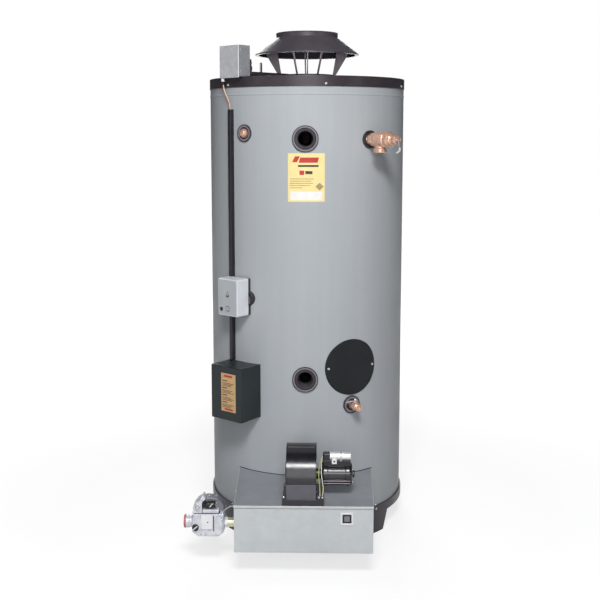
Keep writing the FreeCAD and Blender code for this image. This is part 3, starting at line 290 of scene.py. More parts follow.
# Each has a light and a dark shade on the screen scale, then what sets its finish apart.
COATINGS = {
    "black_enamel": ((62, 54, 62), (46, 40, 46), ENAMEL, dict(dust=(104, 98, 104))),
    "hood_enamel": ((84, 79, 87), (68, 64, 71), ENAMEL, dict(dust=(112, 106, 112))),
    "black_plastic": ((58, 55, 60), (44, 42, 47),
                      dict(patch=20, grain=1500, rough=(0.36, 0.5), relief=0.25)),
    "control_plastic": ((44, 52, 54), (36, 43, 45), dict(patch=6, rough=(0.3, 0.4), dust=(66, 72, 76)),
                        dict(Specular_IOR_Level=0.3)),
    "pale_plastic": ((234, 237, 243), (224, 228, 235), COVER),
    # A darker copy of pale_plastic for the thermostat cover's front face: painted shade.
    "cover_painted_shade": ((194, 199, 203), (184, 190, 194), COVER),
    "blower_black": ((30, 29, 35), (23, 22, 28), dict(patch=11, grain=420, rough=(0.2, 0.27), relief=0.04),
                     dict(Specular_IOR_Level=0.6)),
    "cast_aluminium": ((242, 243, 248), (206, 208, 218), CAST, dict(rough=(0.26, 0.4), relief=0.35)),
    "valve_shade": ((150, 152, 162), (122, 124, 134), CAST, dict(rough=(0.3, 0.42), relief=0.3)),
    "brass": ((234, 194, 172), (208, 166, 144), dict(patch=30, grain=500, rough=(0.26, 0.36), relief=0.04),
              dict(Metallic=0.5)),
    "chrome": ((236, 236, 240), (206, 206, 214),
               dict(patch=60, rough=(0.14, 0.24), relief=0.06, Metallic=0.75)),
    "screw_steel": ((232, 232, 236), (190, 190, 198), dict(patch=150, rough=(0.2, 0.32), Metallic=0.5)),
    "sight_frame": ((246, 247, 249), (232, 234, 238), dict(patch=30, rough=(0.28, 0.4), relief=0.1)),
    "button_plastic": ((34, 34, 38), (24, 24, 27), dict(patch=80, rough=(0.18, 0.3))),
    "lead_insulation": ((232, 228, 196), (212, 206, 168), dict(patch=70, rough=(0.3, 0.42), relief=0.1)),
    "inlet_plastic": ((40, 38, 42), (32, 30, 34)),
    "circuit_plastic": ((44, 100, 62), (30, 78, 46), dict(patch=60)),
    "wheel_steel": ((170, 172, 176), (138, 140, 146), STEEL),
    "tank_steel": ((74, 70, 76), (54, 51, 56), STEEL),
    "flue_steel": ((120, 112, 108), (86, 80, 78), STEEL),
    "magnesium": ((190, 190, 192), (160, 160, 164), STEEL),
    "raceway_enamel": ((42, 40, 48), (32, 31, 37),
                       dict(patch=12, rough=(0.3, 0.42), Specular_IOR_Level=0.35)),
    # Paler grey on the black blower: a painted reflection on its flat front and a painted highlight on its
    # top bead.
    "blower_painted_sheen": ((98, 96, 105), (88, 86, 95), dict(patch=14, rough=(0.3, 0.4), relief=0.08)),
    "valve_plate": ((253, 253, 253), (247, 247, 250), dict(patch=30, rough=(0.35, 0.45), relief=0.02)),
    "cleanout_enamel": ((34, 38, 41), (26, 30, 33), dict(patch=8, rough=(0.3, 0.4), relief=0.06),
                        dict(Specular_IOR_Level=0.2)),
    # Enamel painted pale as painted light: on the hood's shaded struts, and as highlights on the motor's
    # ribs.
    "painted_light_enamel": ((158, 146, 158), (138, 128, 138), dict(patch=24, rough=(0.34, 0.46))),
    # A grey used as painted light: a sheen on the trim rings' dishes and a shadow line under the burner
    # box's lip.
    "grey_painted_sheen_and_shade": ((138, 130, 140), (124, 117, 126), dict(patch=30, rough=(0.4, 0.5))),
    # The burner box's top face, painted darker than box_sheet as painted shade.
    "box_top_painted_shade": ((166, 170, 176), (154, 158, 165), dict(patch=16, grain=240, rough=(0.44, 0.56)),
                      dict(relief=0.12, dust=(150, 152, 158))),
    "label_film": ((255, 235, 166), (252, 228, 152), INK),
    "label_red": ((206, 44, 34), (190, 34, 28), INK),
    "label_dark": ((48, 40, 38), (38, 32, 30), INK),
    "label_grey": ((176, 158, 112), (160, 144, 104), INK),
    "label_white": ((250, 250, 246), (242, 242, 238), INK),
    "tan_film": ((222, 184, 134), (208, 168, 120), INK),
    "tan_red": ((196, 72, 48), (180, 60, 40), INK),
    "tan_dark": ((92, 70, 52), (76, 58, 44), INK),
    "cover_print": ((88, 90, 98), (74, 76, 84), INK),
    "pane": ((134, 136, 140), (118, 120, 126), INK),
    "valve_red": ((206, 120, 112), (188, 100, 94), INK),
    "wire_red": ((196, 96, 72), (178, 80, 58), WIRE),
    "wire_cream": ((240, 234, 204), (226, 218, 184), WIRE),
    "wire_green": ((204, 206, 120), (186, 190, 98), WIRE),
}
LOOKS = {
    "jacket_paint": jacket_paint(),
    "box_sheet": box_sheet(),
    "capacitor_can": capacitor_can(),
    "zinc_pipe": zinc_pipe(),
    "insulation_blanket": insulation_blanket(),
    "galvanised_sheet": galvanised("galvanised_sheet", (176, 181, 187), (196, 201, 206)),
    # Lit and shaded copies of the zinc sheet: painted light and shade on the damper cover's front and
    # sides.
    "galvanised_painted_lit_face": galvanised("galvanised_painted_lit_face", (206, 207, 212), (220, 221, 226)),
    "galvanised_painted_shaded_side": galvanised("galvanised_painted_shaded_side", (158, 159, 164), (172, 173, 179)),
}
for coat, (light, dark, *finishes) in COATINGS.items():
    settings = {key: value for finish in finishes for key, value in finish.items()}
    LOOKS[coat] = coating(coat, light, dark, **settings)


def dress_cad_nodes():
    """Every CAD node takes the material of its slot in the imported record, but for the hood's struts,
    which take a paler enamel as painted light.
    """
    for part in frame["record"]["subparts"]:
        node = frame["nodes"][part["node"]]
        # The struts are painted paler to stand in for light where the hood shades them.
        look = "painted_light_enamel" if part["node"] == "draft_hood_struts" else part["material_slot"]
        node.data.materials.clear()
        node.data.materials.append(LOOKS[look])


# ---- mesh building, in millimetres ----
# The axes that a slab can lie across.
X, Y, Z = 0, 1, 2


def upright(x, y, z):
    """A place whose axis points up."""
    return Matrix.Translation((x, y, z))


def around(rho, azimuth, z):
    """A spot that far from the heater's axis, at an azimuth from the front."""
    turn = math.radians(azimuth)
    return (rho * math.sin(turn), -rho * math.cos(turn), z)


def spun(degrees):
    """A turn about a place's axis."""
    return Matrix.Rotation(math.radians(degrees), 4, "Z")


def outward(rho, z, x=0.0):
    """A place on the front, that far from the heater's axis, whose axis points out of it."""
    return Matrix.Translation((x, -rho, z)) @ Matrix.Rotation(math.radians(90), 4, "X")


def sideways(x, y, z):
    """A place whose axis points along +X."""
    return Matrix.Translation((x, y, z)) @ Matrix.Rotation(math.radians(90), 4, "Y")


def leftward(x, y, z):
    """A place whose axis points along -X."""
    return sideways(x, y, z) @ Matrix.Rotation(math.pi, 4, "Y")


def ridges(root, tip, start, pitch, count):
    """The outline of a thread from a height on: one peak to a pitch."""
    outline = []
    for turn in range(count):
        low = start + pitch * turn
        outline += [(root, low), (tip, low + pitch / 2), (root, low + pitch)]
    return outline


def filleted(outline, radius, closed=False, steps=4):
    """A 2-D outline with its corners rounded."""
    corners = [Vector(p) for p in outline]
    count = len(corners)
    points = []
    for i, corner in enumerate(corners):
        if not closed and i in (0, count - 1):
            points.append(corner)
            continue
        back = corners[i - 1] - corner
        on = corners[(i + 1) % count] - corner
        reach = min(radius, 0.45 * back.length, 0.45 * on.length)
        start, end = corner + back.normalized() * reach, corner + on.normalized() * reach
        for step in range(steps + 1):
            t = step / steps
            points.append(start * (1 - t) ** 2 + corner * (2 * t * (1 - t)) + end * t * t)
    return points


class Form:
    """A mesh that grows solid by solid. It is built facing the front, and turned to an azimuth."""

    def __init__(self, azimuth=0.0, wrap=None, look=None):
        self.mesh = bmesh.new()
        self.turn = spun(azimuth)
        self.wrap = wrap
        self.looks = [look]
        self.tint = 0

    def paint(self, look=None):
        """Faces made from here on take that look, or the slot's own."""
        if look not in self.looks:
            self.looks.append(look)
        self.tint = self.looks.index(look)

    def points(self, coordinates, place=Matrix.Identity(4)):
        """Vertices at coordinates, laid round the jacket if the form is wrapped."""
        made = []
        for coordinate in coordinates:
            spot = place @ Vector(coordinate)
            if self.wrap:
                spot = Matrix.Rotation(spot.x / self.wrap, 4, "Z") @ Vector((0, spot.y, spot.z))
            made.append(self.mesh.verts.new(self.turn @ spot))
        return made

    def face(self, corners):
        face = self.mesh.faces.new(corners)
        face.material_index = self.tint
        return face

    def skin(self, low, high):
        """Faces between two rings, either of which may be a single point."""
        count = max(len(low), len(high))
        for i in range(count):
            j = (i + 1) % count
            corners = [low[i % len(low)], low[j % len(low)], high[j % len(high)], high[i % len(high)]]
            self.face(list(dict.fromkeys(corners)))

    def rings(self, rings, closed=False):
        """A skin through rings of vertices, joined end to end or capped."""
        for low, high in zip(rings, rings[1:]):
            self.skin(low, high)
        if closed:
            self.skin(rings[-1], rings[0])
            return
        for end in (rings[0], rings[-1]):
            if len(end) > 2:
                self.face(end)

    def lathe(self, outline, place, steps=48, soft=0.0, closed=False):
        """An outline of (radius, height) turned about a place's axis."""
        if soft:
            outline = filleted(outline, soft, closed)
        rings = []
        for radius, height in outline:
            count = steps if radius > 1e-6 else 1
            angles = [2 * math.pi * i / steps for i in range(count)]
            ring = [(radius * math.cos(a), radius * math.sin(a), height) for a in angles]
            rings.append(self.points(ring, place))
        self.rings(rings, closed)

    def prism(self, outline, offset, bevel=0.0, place=Matrix.Identity(4)):
        """A flat outline of 3-D points pushed along an offset, with rounded edges."""
        base = self.points(outline, place)
        top = self.points([Vector(p) + Vector(offset) for p in outline], place)
        faces = [self.face(base), self.face(top[::-1])]
        for i in range(len(base)):
            j = (i + 1) % len(base)
            faces.append(self.face((base[i], top[i], top[j], base[j])))
        if bevel:
            edges = list({edge for face in faces for edge in face.edges})
            bmesh.ops.bevel(self.mesh, geom=edges, offset=bevel, segments=3, profile=0.5, affect="EDGES",
                clamp_overlap=True, material=-1)

    def disc(self, radius, ends, place, steps=48, soft=0.0):
        """A solid round bar along a place's axis, between two heights."""
        low, high = ends
        self.lathe([(0, low), (radius, low), (radius, high), (0, high)], place, steps, soft)

    def ring(self, radii, ends, place, steps=48, soft=0.0):
        """A ring about a place's axis, between two radii and two heights."""
        (inner, outer), (low, high) = radii, ends
        outline = [(inner, low), (outer, low), (outer, high), (inner, high)]
        self.lathe(outline, place, steps, soft, closed=True)

    def slab(self, axis, outline, start, depth, bevel=0.0):
        """A flat outline across an axis, pushed along it from a start."""
        offset = Vector((0, 0, 0))
        offset[axis] = depth
        self.prism([(*spot[:axis], start, *spot[axis:]) for spot in outline], offset, bevel)

    def block(self, x, y, z, bevel=0.0, place=Matrix.Identity(4)):
        """A box from three (low, high) pairs, with rounded edges."""
        corners = [(x[0], y[0], z[0]), (x[1], y[0], z[0]), (x[1], y[0], z[1]), (x[0], y[0], z[1])]
        self.prism(corners, (0, y[1] - y[0], 0), bevel, place)

    def hexagon(self, flats, low, high, place, bevel=1.0):
        """A hexagonal bar along a place's axis, between two heights."""
        radius = flats / 2 / math.cos(math.radians(30))
        turns = [math.radians(60 * i + 30) for i in range(6)]
        self.prism([(radius * math.cos(a), radius * math.sin(a), low) for a in turns], (0, 0, high - low),
            bevel, place)

    def thread(self, radius, depth, low, high, pitch, place, steps=48):
        """A threaded length on a place's axis: ridges a pitch apart between two heights."""
        root = radius - depth
        count = int((high - low + 0.01) / pitch)
        turns = ridges(root, radius, low, pitch, count)
        self.lathe([(0, low), (root, low)] + turns + [(0, low + pitch * count)], place, steps)

    def patch(self, x, z, rho, depth=0.25, slant=0.0):
        """A thin sheet between X and Z limits, that far from the axis, leaning by a slant."""
        steps = max(1, int((x[1] - x[0]) / 5))
        lean = slant * (z[1] - z[0])
        rings = []
        for step in range(steps + 1):
            at = x[0] + (x[1] - x[0]) * step / steps
            section = ((at, -rho + 0.6, z[0]), (at, -rho - depth, z[0]), (at + lean, -rho - depth, z[1]),
                (at + lean, -rho + 0.6, z[1]))
            rings.append(self.points(section))
        self.rings(rings)

    def screw(self, place, size=1.0):
        """A hexagon washer-head screw, seated at a place."""
        head = Matrix.Scale(size, 4)
        self.lathe([(0, -1), (5.4, -1), (5.4, 0.7), (4.4, 1.3), (0, 1.3)], place @ head, 24, 0.3)
        self.hexagon(7.0, 0.9, 4.0, place @ head, 0.7)

    def tube(self, centres, radius, steps=12):
        """A round bar through points, mitred at each."""
        spots = [Vector(c) for c in centres]
        side = Vector((0, 0, 1))
        rings = []
        for i, spot in enumerate(spots):
            ahead = (spots[min(i + 1, len(spots) - 1)] - spots[max(i - 1, 0)]).normalized()
            if abs(ahead.dot(side)) > 0.95:
                side = Vector((1, 0, 0))
            across = ahead.cross(side).normalized()
            up = across.cross(ahead).normalized()
            angles = [2 * math.pi * k / steps for k in range(steps)]
            ring = [spot + (across * math.cos(a) + up * math.sin(a)) * radius for a in angles]
            rings.append(self.points(ring))
        self.rings(rings)

    def piece(self, name, slot, nodes=(), body="heater", sharp=36.0):
        """The finished mesh, in metres, riding on its body and standing for its CAD nodes."""
        bmesh.ops.scale(self.mesh, vec=(MM, MM, MM), verts=self.mesh.verts)
        bmesh.ops.recalc_face_normals(self.mesh, faces=self.mesh.faces)
        for edge in self.mesh.edges:
            edge.smooth = len(edge.link_faces) == 2 and edge.calc_face_angle(0) < math.radians(sharp)
        for face in self.mesh.faces:
            face.smooth = True
        mesh = bpy.data.meshes.new(name)
        self.mesh.to_mesh(mesh)
        self.mesh.free()
        for look in self.looks:
            mesh.materials.append(LOOKS[look or slot])
        made = placed(name, mesh)
        made.modifiers.new("even_normals", "WEIGHTED_NORMAL").keep_sharp = True
        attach(made, body)
        if nodes:
            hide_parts(*nodes)
        return made


# ---- base, lid and hood ----
JACKET_R = 381.0
UPRIGHT_AXIS = upright(0, 0, 0)
ROUND_STEPS = 160
RELIEF_AZIMUTH, RELIEF_Z = 38, 1521
DRAIN_AZIMUTH, DRAIN_Z = 27, 533
PLUG_AZIMUTH, PLUG_Z = -36, 1544
CLEANOUT_Z = 676


def make_draft_hood():
    """The spun hood: a short throat with a rolled hem, a wide cone and a turned-in rim."""
    hood = Form(look="hood_enamel")
    hood.lathe([(121, 1930), (121, 1914), (204, 1850), (204, 1846.4), (190, 1846.4), (190, 1848),
        (202, 1848), (119.2, 1913), (119.2, 1930)], UPRIGHT_AXIS, ROUND_STEPS, 1.6, closed=True)
    hood.lathe(circle(120.4, 1929.7, 2.3), UPRIGHT_AXIS, ROUND_STEPS, closed=True)
    hood.piece("spun_draft_hood", "black_enamel", ["draft_hood"])


def circle(radius, height, size, steps=10):
    """A small round outline, for a bead."""
    turns = [2 * math.pi * i / steps for i in range(steps)]
    return [(radius + size * math.cos(a), height + size * math.sin(a)) for a in turns]


def make_lid():
    """The black lid, with a shallow step round its top and a hem along its lower edge."""
    lid = Form()
    lid.lathe([(105.4, 1749), (364, 1749), (368, 1750), (383, 1750), (383, 1715), (383.8, 1714),
        (383.8, 1711), (381.2, 1711), (381.2, 1747), (105.4, 1747)], UPRIGHT_AXIS, ROUND_STEPS, 1.8,
        closed=True)
    lid.piece("lid_pan", "black_enamel", ["jacket_lid"])


def make_base_ring():
    """The black pan at the foot of the jacket, with a rolled upper edge."""
    ring = Form()
    ring.lathe([(250, 76), (388, 76), (388, 111), (382, 111), (382, 108), (385, 108), (385, 79), (250, 79)],
        UPRIGHT_AXIS, ROUND_STEPS, 1.4, closed=True)
    ring.piece("base_pan", "black_enamel", ["base_ring"])


def make_jacket_seam():
    """The lapped seam down the back of the jacket, closed with rivets."""
    seam = Form(180)
    seam.block((-16, 16), (-382.8, -379.6), (113, 1709), 0.5)
    for row in range(14):
        seam.lathe([(0, 0), (4.6, 0), (4.2, 1.2), (2.4, 2.2), (0, 2.5)], outward(382.4, 150 + 118 * row),
            20)
    seam.piece("jacket_back_seam", "jacket_paint")


def make_screws(name, spots, nodes=(), azimuth=0.0):
    """One piece of screws, each at a place and of a size."""
    screws = Form(azimuth)
    for place, size in spots:
        screws.screw(place, size)
    screws.piece(name, "screw_steel", nodes)


def make_jacket_screws():
    """Washer-head screws round the lid, the base ring and the cleanout cover."""
    places = [(11.2 + 60 * i, 383.9, 1721) for i in range(6)]
    places += [(45 + 90 * i, 388, 98) for i in range(4)]
    places += [(DRAIN_AZIMUTH + side * 13.9, 384.8, CLEANOUT_Z) for side in (-1, 1)]
    spots = [(spun(azimuth) @ outward(rho, z), 0.85) for azimuth, rho, z in places]
    make_screws("jacket_screw_heads", spots, ["jacket_screws"])


# ---- water connections ----
# Azimuth, height, socket radius, bore radius and trim radius: hot, cold, relief, drain, plug, well.
PORTS = (
    (0, 1524, 38.0, 28.3, 48.0),
    (0, 637, 38.0, 28.3, 48.0),
    (RELIEF_AZIMUTH, RELIEF_Z, 22.0, 17.0, 33.0),
    (DRAIN_AZIMUTH, DRAIN_Z, 20.0, 13.0, 34.0),
    (PLUG_AZIMUTH, PLUG_Z, 20.0, 13.0, 32.0),
    (-36, 922, 16.0, 10.0, 30.0),
)


def spud_outline(spud, bore):
    """The section of a tank socket: a chamfered face, a threaded bore and a plain passage behind."""
    outline = [(spud, 290), (spud, 382.6), (spud - 1.4, 384), (bore + 1.6, 384), (bore, 382.4)]
    deep = 344.0
    outline += ridges(bore, bore - 1.1, 382.0, -2.2, 17)
    outline += [(bore, deep), (bore - 2, deep - 2), (bore - 2, 290)]
    return outline


def make_tank_spuds():
    """The threaded sockets that stand out of the jacket."""
    spuds = Form()
    for azimuth, z, spud, bore, _ in PORTS:
        spuds.lathe(spud_outline(spud, bore), spun(azimuth) @ outward(0, z), 64, closed=True)
    spuds.piece("threaded_sockets", "tank_steel", ["tank_spuds"])


def make_trim_rings():
    """Black rings that close the jacket round each socket, with a raised rim, a dish and an inner bead. All
    dishes but the relief valve's carry a painted sheen.
    """
    rings = Form()
    for azimuth, z, spud, _, outer in PORTS:
        inner = spud + 0.2
        wall = (outer - inner) / 10
        place = spun(azimuth) @ outward(0, z)
        rings.lathe([(inner, 372), (inner, 385.6), (inner + 1.4 * wall, 386.2), (inner + 2.4 * wall, 385.0),
            (outer - 3.4 * wall, 385.2), (outer - 2.2 * wall, 387.4), (outer - 0.8 * wall, 387.4),
            (outer, 386.2), (outer, 372)], place, 72, 0.7, closed=True)
        # The dish of each ring but the relief valve's takes a paler grey: a painted sheen on black plastic.
        rings.paint(None if z == RELIEF_Z else "grey_painted_sheen_and_shade")
        rings.lathe([(inner + 0.1, 385.0), (inner + 2.4 * wall, 385.9), (outer - 3.2 * wall, 385.9),
            (outer - 2.4 * wall, 385.0)], place, 72, 0.3, closed=True)
        rings.paint()
    rings.piece("port_trims", "black_plastic", ["port_trim_rings"])


def make_port_plug():
    """The brass plug: hexagon, chamfer and domed end."""
    plug = Form(PLUG_AZIMUTH)
    place = outward(0, PLUG_Z)
    plug.lathe([(0, 348), (13, 348), (13, 383), (16.5, 384), (16.5, 385.2), (0, 385.2)], place, 36, 0.4)
    plug.hexagon(29, 385.0, 393.5, place, 1.6)
    plug.lathe([(0, 392), (11.5, 392), (11.0, 395.5), (8.6, 398), (0, 399)], place, 36, 1.2)
    plug.piece("brass_plug", "brass", ["port_plug"])


def make_relief_body():
    """The relief valve's body: shank, hexagon, a ribbed barrel and an outlet that points down."""
    valve = Form(RELIEF_AZIMUTH)
    place = outward(0, RELIEF_Z)
    valve.thread(17, 1.2, 372, 391, 2.2, place)
    valve.hexagon(43, 389.5, 403.5, place, 2.4)
    valve.lathe([(0, 402), (19.5, 402), (21, 406), (25, 409), (26, 413), (24, 416), (24, 421), (27.6, 424),
        (27.6, 432), (26.7, 433), (26.7, 436), (27.6, 437), (27.6, 447), (26.7, 448), (26.7, 451),
        (27.6, 452), (27.6, 462), (26.7, 463), (26.7, 466), (27.6, 467), (27.6, 472), (24.4, 475),
        (24.4, 480), (28, 483), (28, 493), (25, 498.4), (5, 498.4), (5, 470), (0, 470)], place, 56, 0.8)
    valve.lathe([(0, 0), (17, 0), (18.6, -14), (18.6, -30), (23.4, -34), (24, -45.6), (22, -48),
        (14.6, -48), (13.4, -30), (0, -30)], upright(0, -440, RELIEF_Z), 48, 1.2)
    for y in (-424, -474):
        valve.block((-7, 7), (y - 5, y + 5), (RELIEF_Z + 20, RELIEF_Z + 29.6), 1.6)
    valve.piece("relief_body_cast", "brass", ["relief_valve_body"])


def make_relief_bonnet():
    """The spring housing in concentric steps, with the lever's two ears."""
    bonnet = Form(RELIEF_AZIMUTH)
    place = outward(0, RELIEF_Z)
    bonnet.lathe([(3.6, 497.6), (22, 497.6), (22.4, 500), (21, 503.4), (21, 506), (17.4, 509), (17.4, 512),
        (15.8, 514), (15.8, 517), (17.2, 519), (17.2, 527), (15.2, 530), (3.6, 530)], place, 48, 0.5,
        closed=True)
    for x in (-6.4, 6.4):
        bonnet.slab(X, [(-529, RELIEF_Z - 8), (-529, RELIEF_Z + 8), (-541, RELIEF_Z + 6), (-545, RELIEF_Z),
            (-541, RELIEF_Z - 6)], x - 2, 4, 1.2)
    bonnet.piece("relief_spring_housing", "brass", ["relief_valve_bonnet"])


def make_relief_lever():
    """The bent steel test lever on its pin."""
    lever = Form(RELIEF_AZIMUTH)
    z = RELIEF_Z
    pin = sideways(-10, -538, z)
    lever.lathe([(0, 0), (3.4, 0), (3.4, 1.4), (2.5, 1.6), (2.5, 18.4), (3.4, 18.6), (3.4, 20), (0, 20)],
        pin, 20, 0.3)
    lever.disc(4.6, (6.4, 13.6), pin, 24, 0.5)
    lever.slab(X, [(-536.4, z - 2), (-541, z + 2.4), (-543, z - 4), (-546.6, z - 28), (-545.4, z - 38),
        (-530, z - 48), (-529, z - 46.4), (-543, z - 36.6), (-544.2, z - 28), (-540, z - 6)], -4, 8, 0.7)
    lever.slab(X, [(-545.6, z - 38), (-530, z - 48.4), (-528.6, z - 46), (-543.6, z - 35.6)], -6, 12, 0.6)
    lever.piece("relief_test_lever", "chrome", ["relief_lever"], "relief_lever")


def make_drain_valve():
    """The drain valve: hexagons at both ends of a turned barrel, and a hose thread."""
    valve = Form(DRAIN_AZIMUTH)
    place = outward(0, DRAIN_Z)
    valve.thread(13, 1.0, 376, 387, 1.8, place, 36)
    valve.hexagon(29, 386, 395.5, place, 1.6)
    valve.lathe([(0, 394), (14, 394), (15.6, 398), (16.4, 403), (16.4, 418), (15.2, 422), (14.2, 425),
        (0, 425)], place, 40, 1.0)
    valve.hexagon(29, 422, 428.4, place, 1.4)
    outline = [(0, 428), (12, 428)] + ridges(12, 13.3, 428.6, 2.2, 5)
    outline += [(12, 440), (9.2, 440), (8.2, 434), (0, 434)]
    valve.lathe(outline, place, 40)
    valve.lathe([(0, 0), (8.6, 8), (8.6, 18), (6.4, 20.2), (0, 20.2)], upright(0, -411, DRAIN_Z), 28, 0.8)
    valve.piece("drain_body_turned", "brass", ["drain_valve_body"])


def make_drain_handle():
    """The drain valve's cranked lever and the nut that holds it."""
    handle = Form(DRAIN_AZIMUTH)
    y, z = -411.0, DRAIN_Z
    handle.slab(Y, [(-27, z + 20.6), (7, z + 20.6), (7, z + 23), (-26, z + 23), (-39, z + 17),
        (-38, z + 14.8)], y - 5.5, 11, 0.8)
    handle.hexagon(9, 22.8, 27.2, upright(0, y, z), 0.7)
    handle.lathe([(0, 26), (2.6, 26), (2.6, 29), (0, 29.4)], upright(0, y, z), 16, 0.4)
    handle.piece("drain_lever", "chrome", ["drain_handle"], "drain_handle")


def make_cleanout_cover():
    """The round cover, rolled to the jacket, with a turned edge."""
    cover = Form(DRAIN_AZIMUTH, wrap=JACKET_R, look="cleanout_enamel")
    cover.lathe([(0, 384.9), (30, 384.8), (74, 384.6), (98, 384.6), (100, 384.9), (103, 384.9),
        (106, 383.4), (106, 380.6), (74, 380.6), (0, 380.6)], outward(0, CLEANOUT_Z), 120, 1.2)
    cover.piece("cleanout_disc", "control_plastic", ["cleanout_cover"])


# ---- labels ----
INK_R = JACKET_R + 0.2


def make_rating_label():
    """A generic rating label: red blocks over a bar, and blocks and lines where the print would be."""
    label = Form(0.6, wrap=JACKET_R, look="label_film")
    label.patch((-67, 67), (1297, 1472), JACKET_R)
    label.paint("label_red")
    label.patch((-52, -34), (1440, 1461), INK_R, slant=0.5)
    label.patch((-28, 40), (1438, 1457), INK_R, slant=0.3)
    label.patch((-25, -8), (1394, 1410), INK_R)
    label.paint("label_dark")
    label.patch((-30, 44), (1423, 1430), INK_R)
    label.patch((-4, 22), (1397, 1408), INK_R)
    label.paint("label_grey")
    for row, reach in enumerate((58, 52, 56, 50, 30)):
        label.patch((-60, -60 + 1.5 * reach), (1378.5 - 8 * row, 1381 - 8 * row), INK_R)
    label.slab(Y, [(33, 1352), (48, 1366), (63, 1352), (48, 1338)], -JACKET_R - 0.1, -0.5)
    label.paint("label_white")
    label.patch((-58, 58), (1303, 1334), INK_R)
    label.piece("rating_label", "pale_plastic")


CONTROL_AZIMUTH, CONTROL_FACE = -37.3, 485.0


def make_control_label():
    """A generic tan label on the control box, with blocks and lines where the print would be."""
    label = Form(CONTROL_AZIMUTH, look="tan_film")
    label.patch((-24, 48), (516, 660), CONTROL_FACE)
    label.paint("tan_red")
    label.patch((-12, 30), (646, 654), CONTROL_FACE + 0.2, slant=0.4)
    label.patch((-8, 34), (521, 528), CONTROL_FACE + 0.2)
    label.paint("tan_dark")
    for block in range(4):
        top = 634 - 27 * block
        label.patch((-18, 6), (top - 4, top), CONTROL_FACE + 0.2)
        for row in range(3):
            label.patch((-18, 38 - 7 * ((block + row) % 3)), (top - 12 - 5 * row, top - 10 - 5 * row),
                CONTROL_FACE + 0.2)
    label.piece("control_label", "pale_plastic")


# ---- controls ----
THERMOSTAT_AZIMUTH = -40.0
RACEWAY_AZIMUTH = -45.8
BUTTON_PLACE = outward(0, 892, -32)


def shell_outline(half, z, radius):
    """A rounded rectangle in X and Z."""
    return filleted([(-half, z[0]), (half, z[0]), (half, z[1]), (-half, z[1])], radius, closed=True,
        steps=5)


def open_box(form, half, z, back, face, radius, edge, wall, face_look=None):
    """A cover with a rounded face, open at its back: outside skin, then the inside one."""
    outer = [(0.0, back), (0.0, face - edge), (0.3 * edge, face - 0.3 * edge), (edge, face)]
    rings = []
    for inset, rho in [(wall, back)] + outer:
        low_high = (z[0] + inset, z[1] - inset)
        outline = shell_outline(half - inset, low_high, max(radius - inset, 1.0))
        rings.append(form.points([(x, -rho, height) for x, height in outline]))
    inner = shell_outline(half - wall - 0.5, (z[0] + wall + 0.5, z[1] - wall - 0.5),
        max(radius - wall, 1.0))
    rings.append(form.points([(x, -(face - wall), height) for x, height in inner]))
    for low, high in zip(rings[:-1], rings[1:-1]):
        form.skin(low, high)
    form.paint(face_look)
    form.face(rings[-2])
    form.paint()
    form.skin(rings[0], rings[-1])
    form.face(rings[-1])


def make_thermostat_cover():
    """The pale cover: a printed bar, triangle and square, two screws and a socket for the reset button. Its
    front face is a darker grey than its sides as painted shade.
    """
    cover = Form(THERMOSTAT_AZIMUTH)
    # The front face takes the darker copy of the pale plastic: painted shade.
    open_box(cover, 51.5, (868, 1008), 392, 450, 7.0, 5.0, 2.0, face_look="cover_painted_shade")
    cover.paint("button_plastic")
    cover.ring((4.7, 7.6), (449.4, 451.4), BUTTON_PLACE, 32, 0.4)
    cover.paint("cover_print")
    cover.block((-7, 7), (-450.3, -449.6), (939, 945))
    mark = [(-4, 1.0), (4, 1.0), (0, 8.0)]
    for scale, rho, look in ((2.2, 450.2, "cover_print"), (1.45, 450.5, "cover_painted_shade")):
        cover.paint(look)
        cover.prism([(x * scale, -rho + 1, 952 + (z - 3.6) * scale) for x, z in mark], (0, -1.2, 0))
    cover.paint("cover_print")
    cover.block((-9, 9), (-450.3, -449.6), (886, 905))
    cover.paint("cover_painted_shade")
    cover.block((-6.6, 6.6), (-450.6, -449.8), (888.4, 902.6))
    cover.paint("screw_steel")
    for z in (880, 996):
        cover.screw(outward(449.8, z, 40), 0.6)
    cover.piece("thermostat_case", "pale_plastic", ["thermostat_cover"])


def make_reset_button():
    """The push button, slightly domed."""
    button = Form(THERMOSTAT_AZIMUTH)
    button.lathe([(0, 438), (4.4, 438), (4.4, 443), (6.4, 443), (6.4, 446), (4.5, 446), (4.5, 452.2),
        (3.6, 453), (0, 453.2)], BUTTON_PLACE, 32, 0.4)
    button.piece("reset_push_button", "button_plastic", ["reset_button"], "reset_button")


def make_well_ring():
    """The black ring of the thermostat's tapping, which shows past the cover."""
    ring = Form(THERMOSTAT_AZIMUTH)
    ring.lathe([(22, 374), (27, 374), (27, 388), (25.6, 389.4), (22, 389.4)], outward(0, 932, 43), 48, 0.8,
        closed=True)
    ring.piece("well_ring", "black_plastic")


def make_control_cover():
    """The control box's cover, lapped over its body, with a finger pad on its top edge."""
    cover = Form(CONTROL_AZIMUTH)
    open_box(cover, 75.5, (481, 686), 448, CONTROL_FACE, 4.0, 3.2, 1.8)
    pad = filleted([(-62, -450), (-38, -450), (-38, -459), (-62, -459)], 4.0, closed=True)
    cover.slab(Z, pad, 685.4, 0.9, 0.3)
    cover.piece("control_case", "control_plastic", ["control_box_cover"])


def make_control_screws():
    """Screws through the lower edge of the control box."""
    down = Matrix.Rotation(math.pi, 4, "X")
    spots = [(upright(x, -458, 481) @ down, 0.7) for x in (-40, 40)]
    make_screws("control_case_screws", spots, azimuth=CONTROL_AZIMUTH)


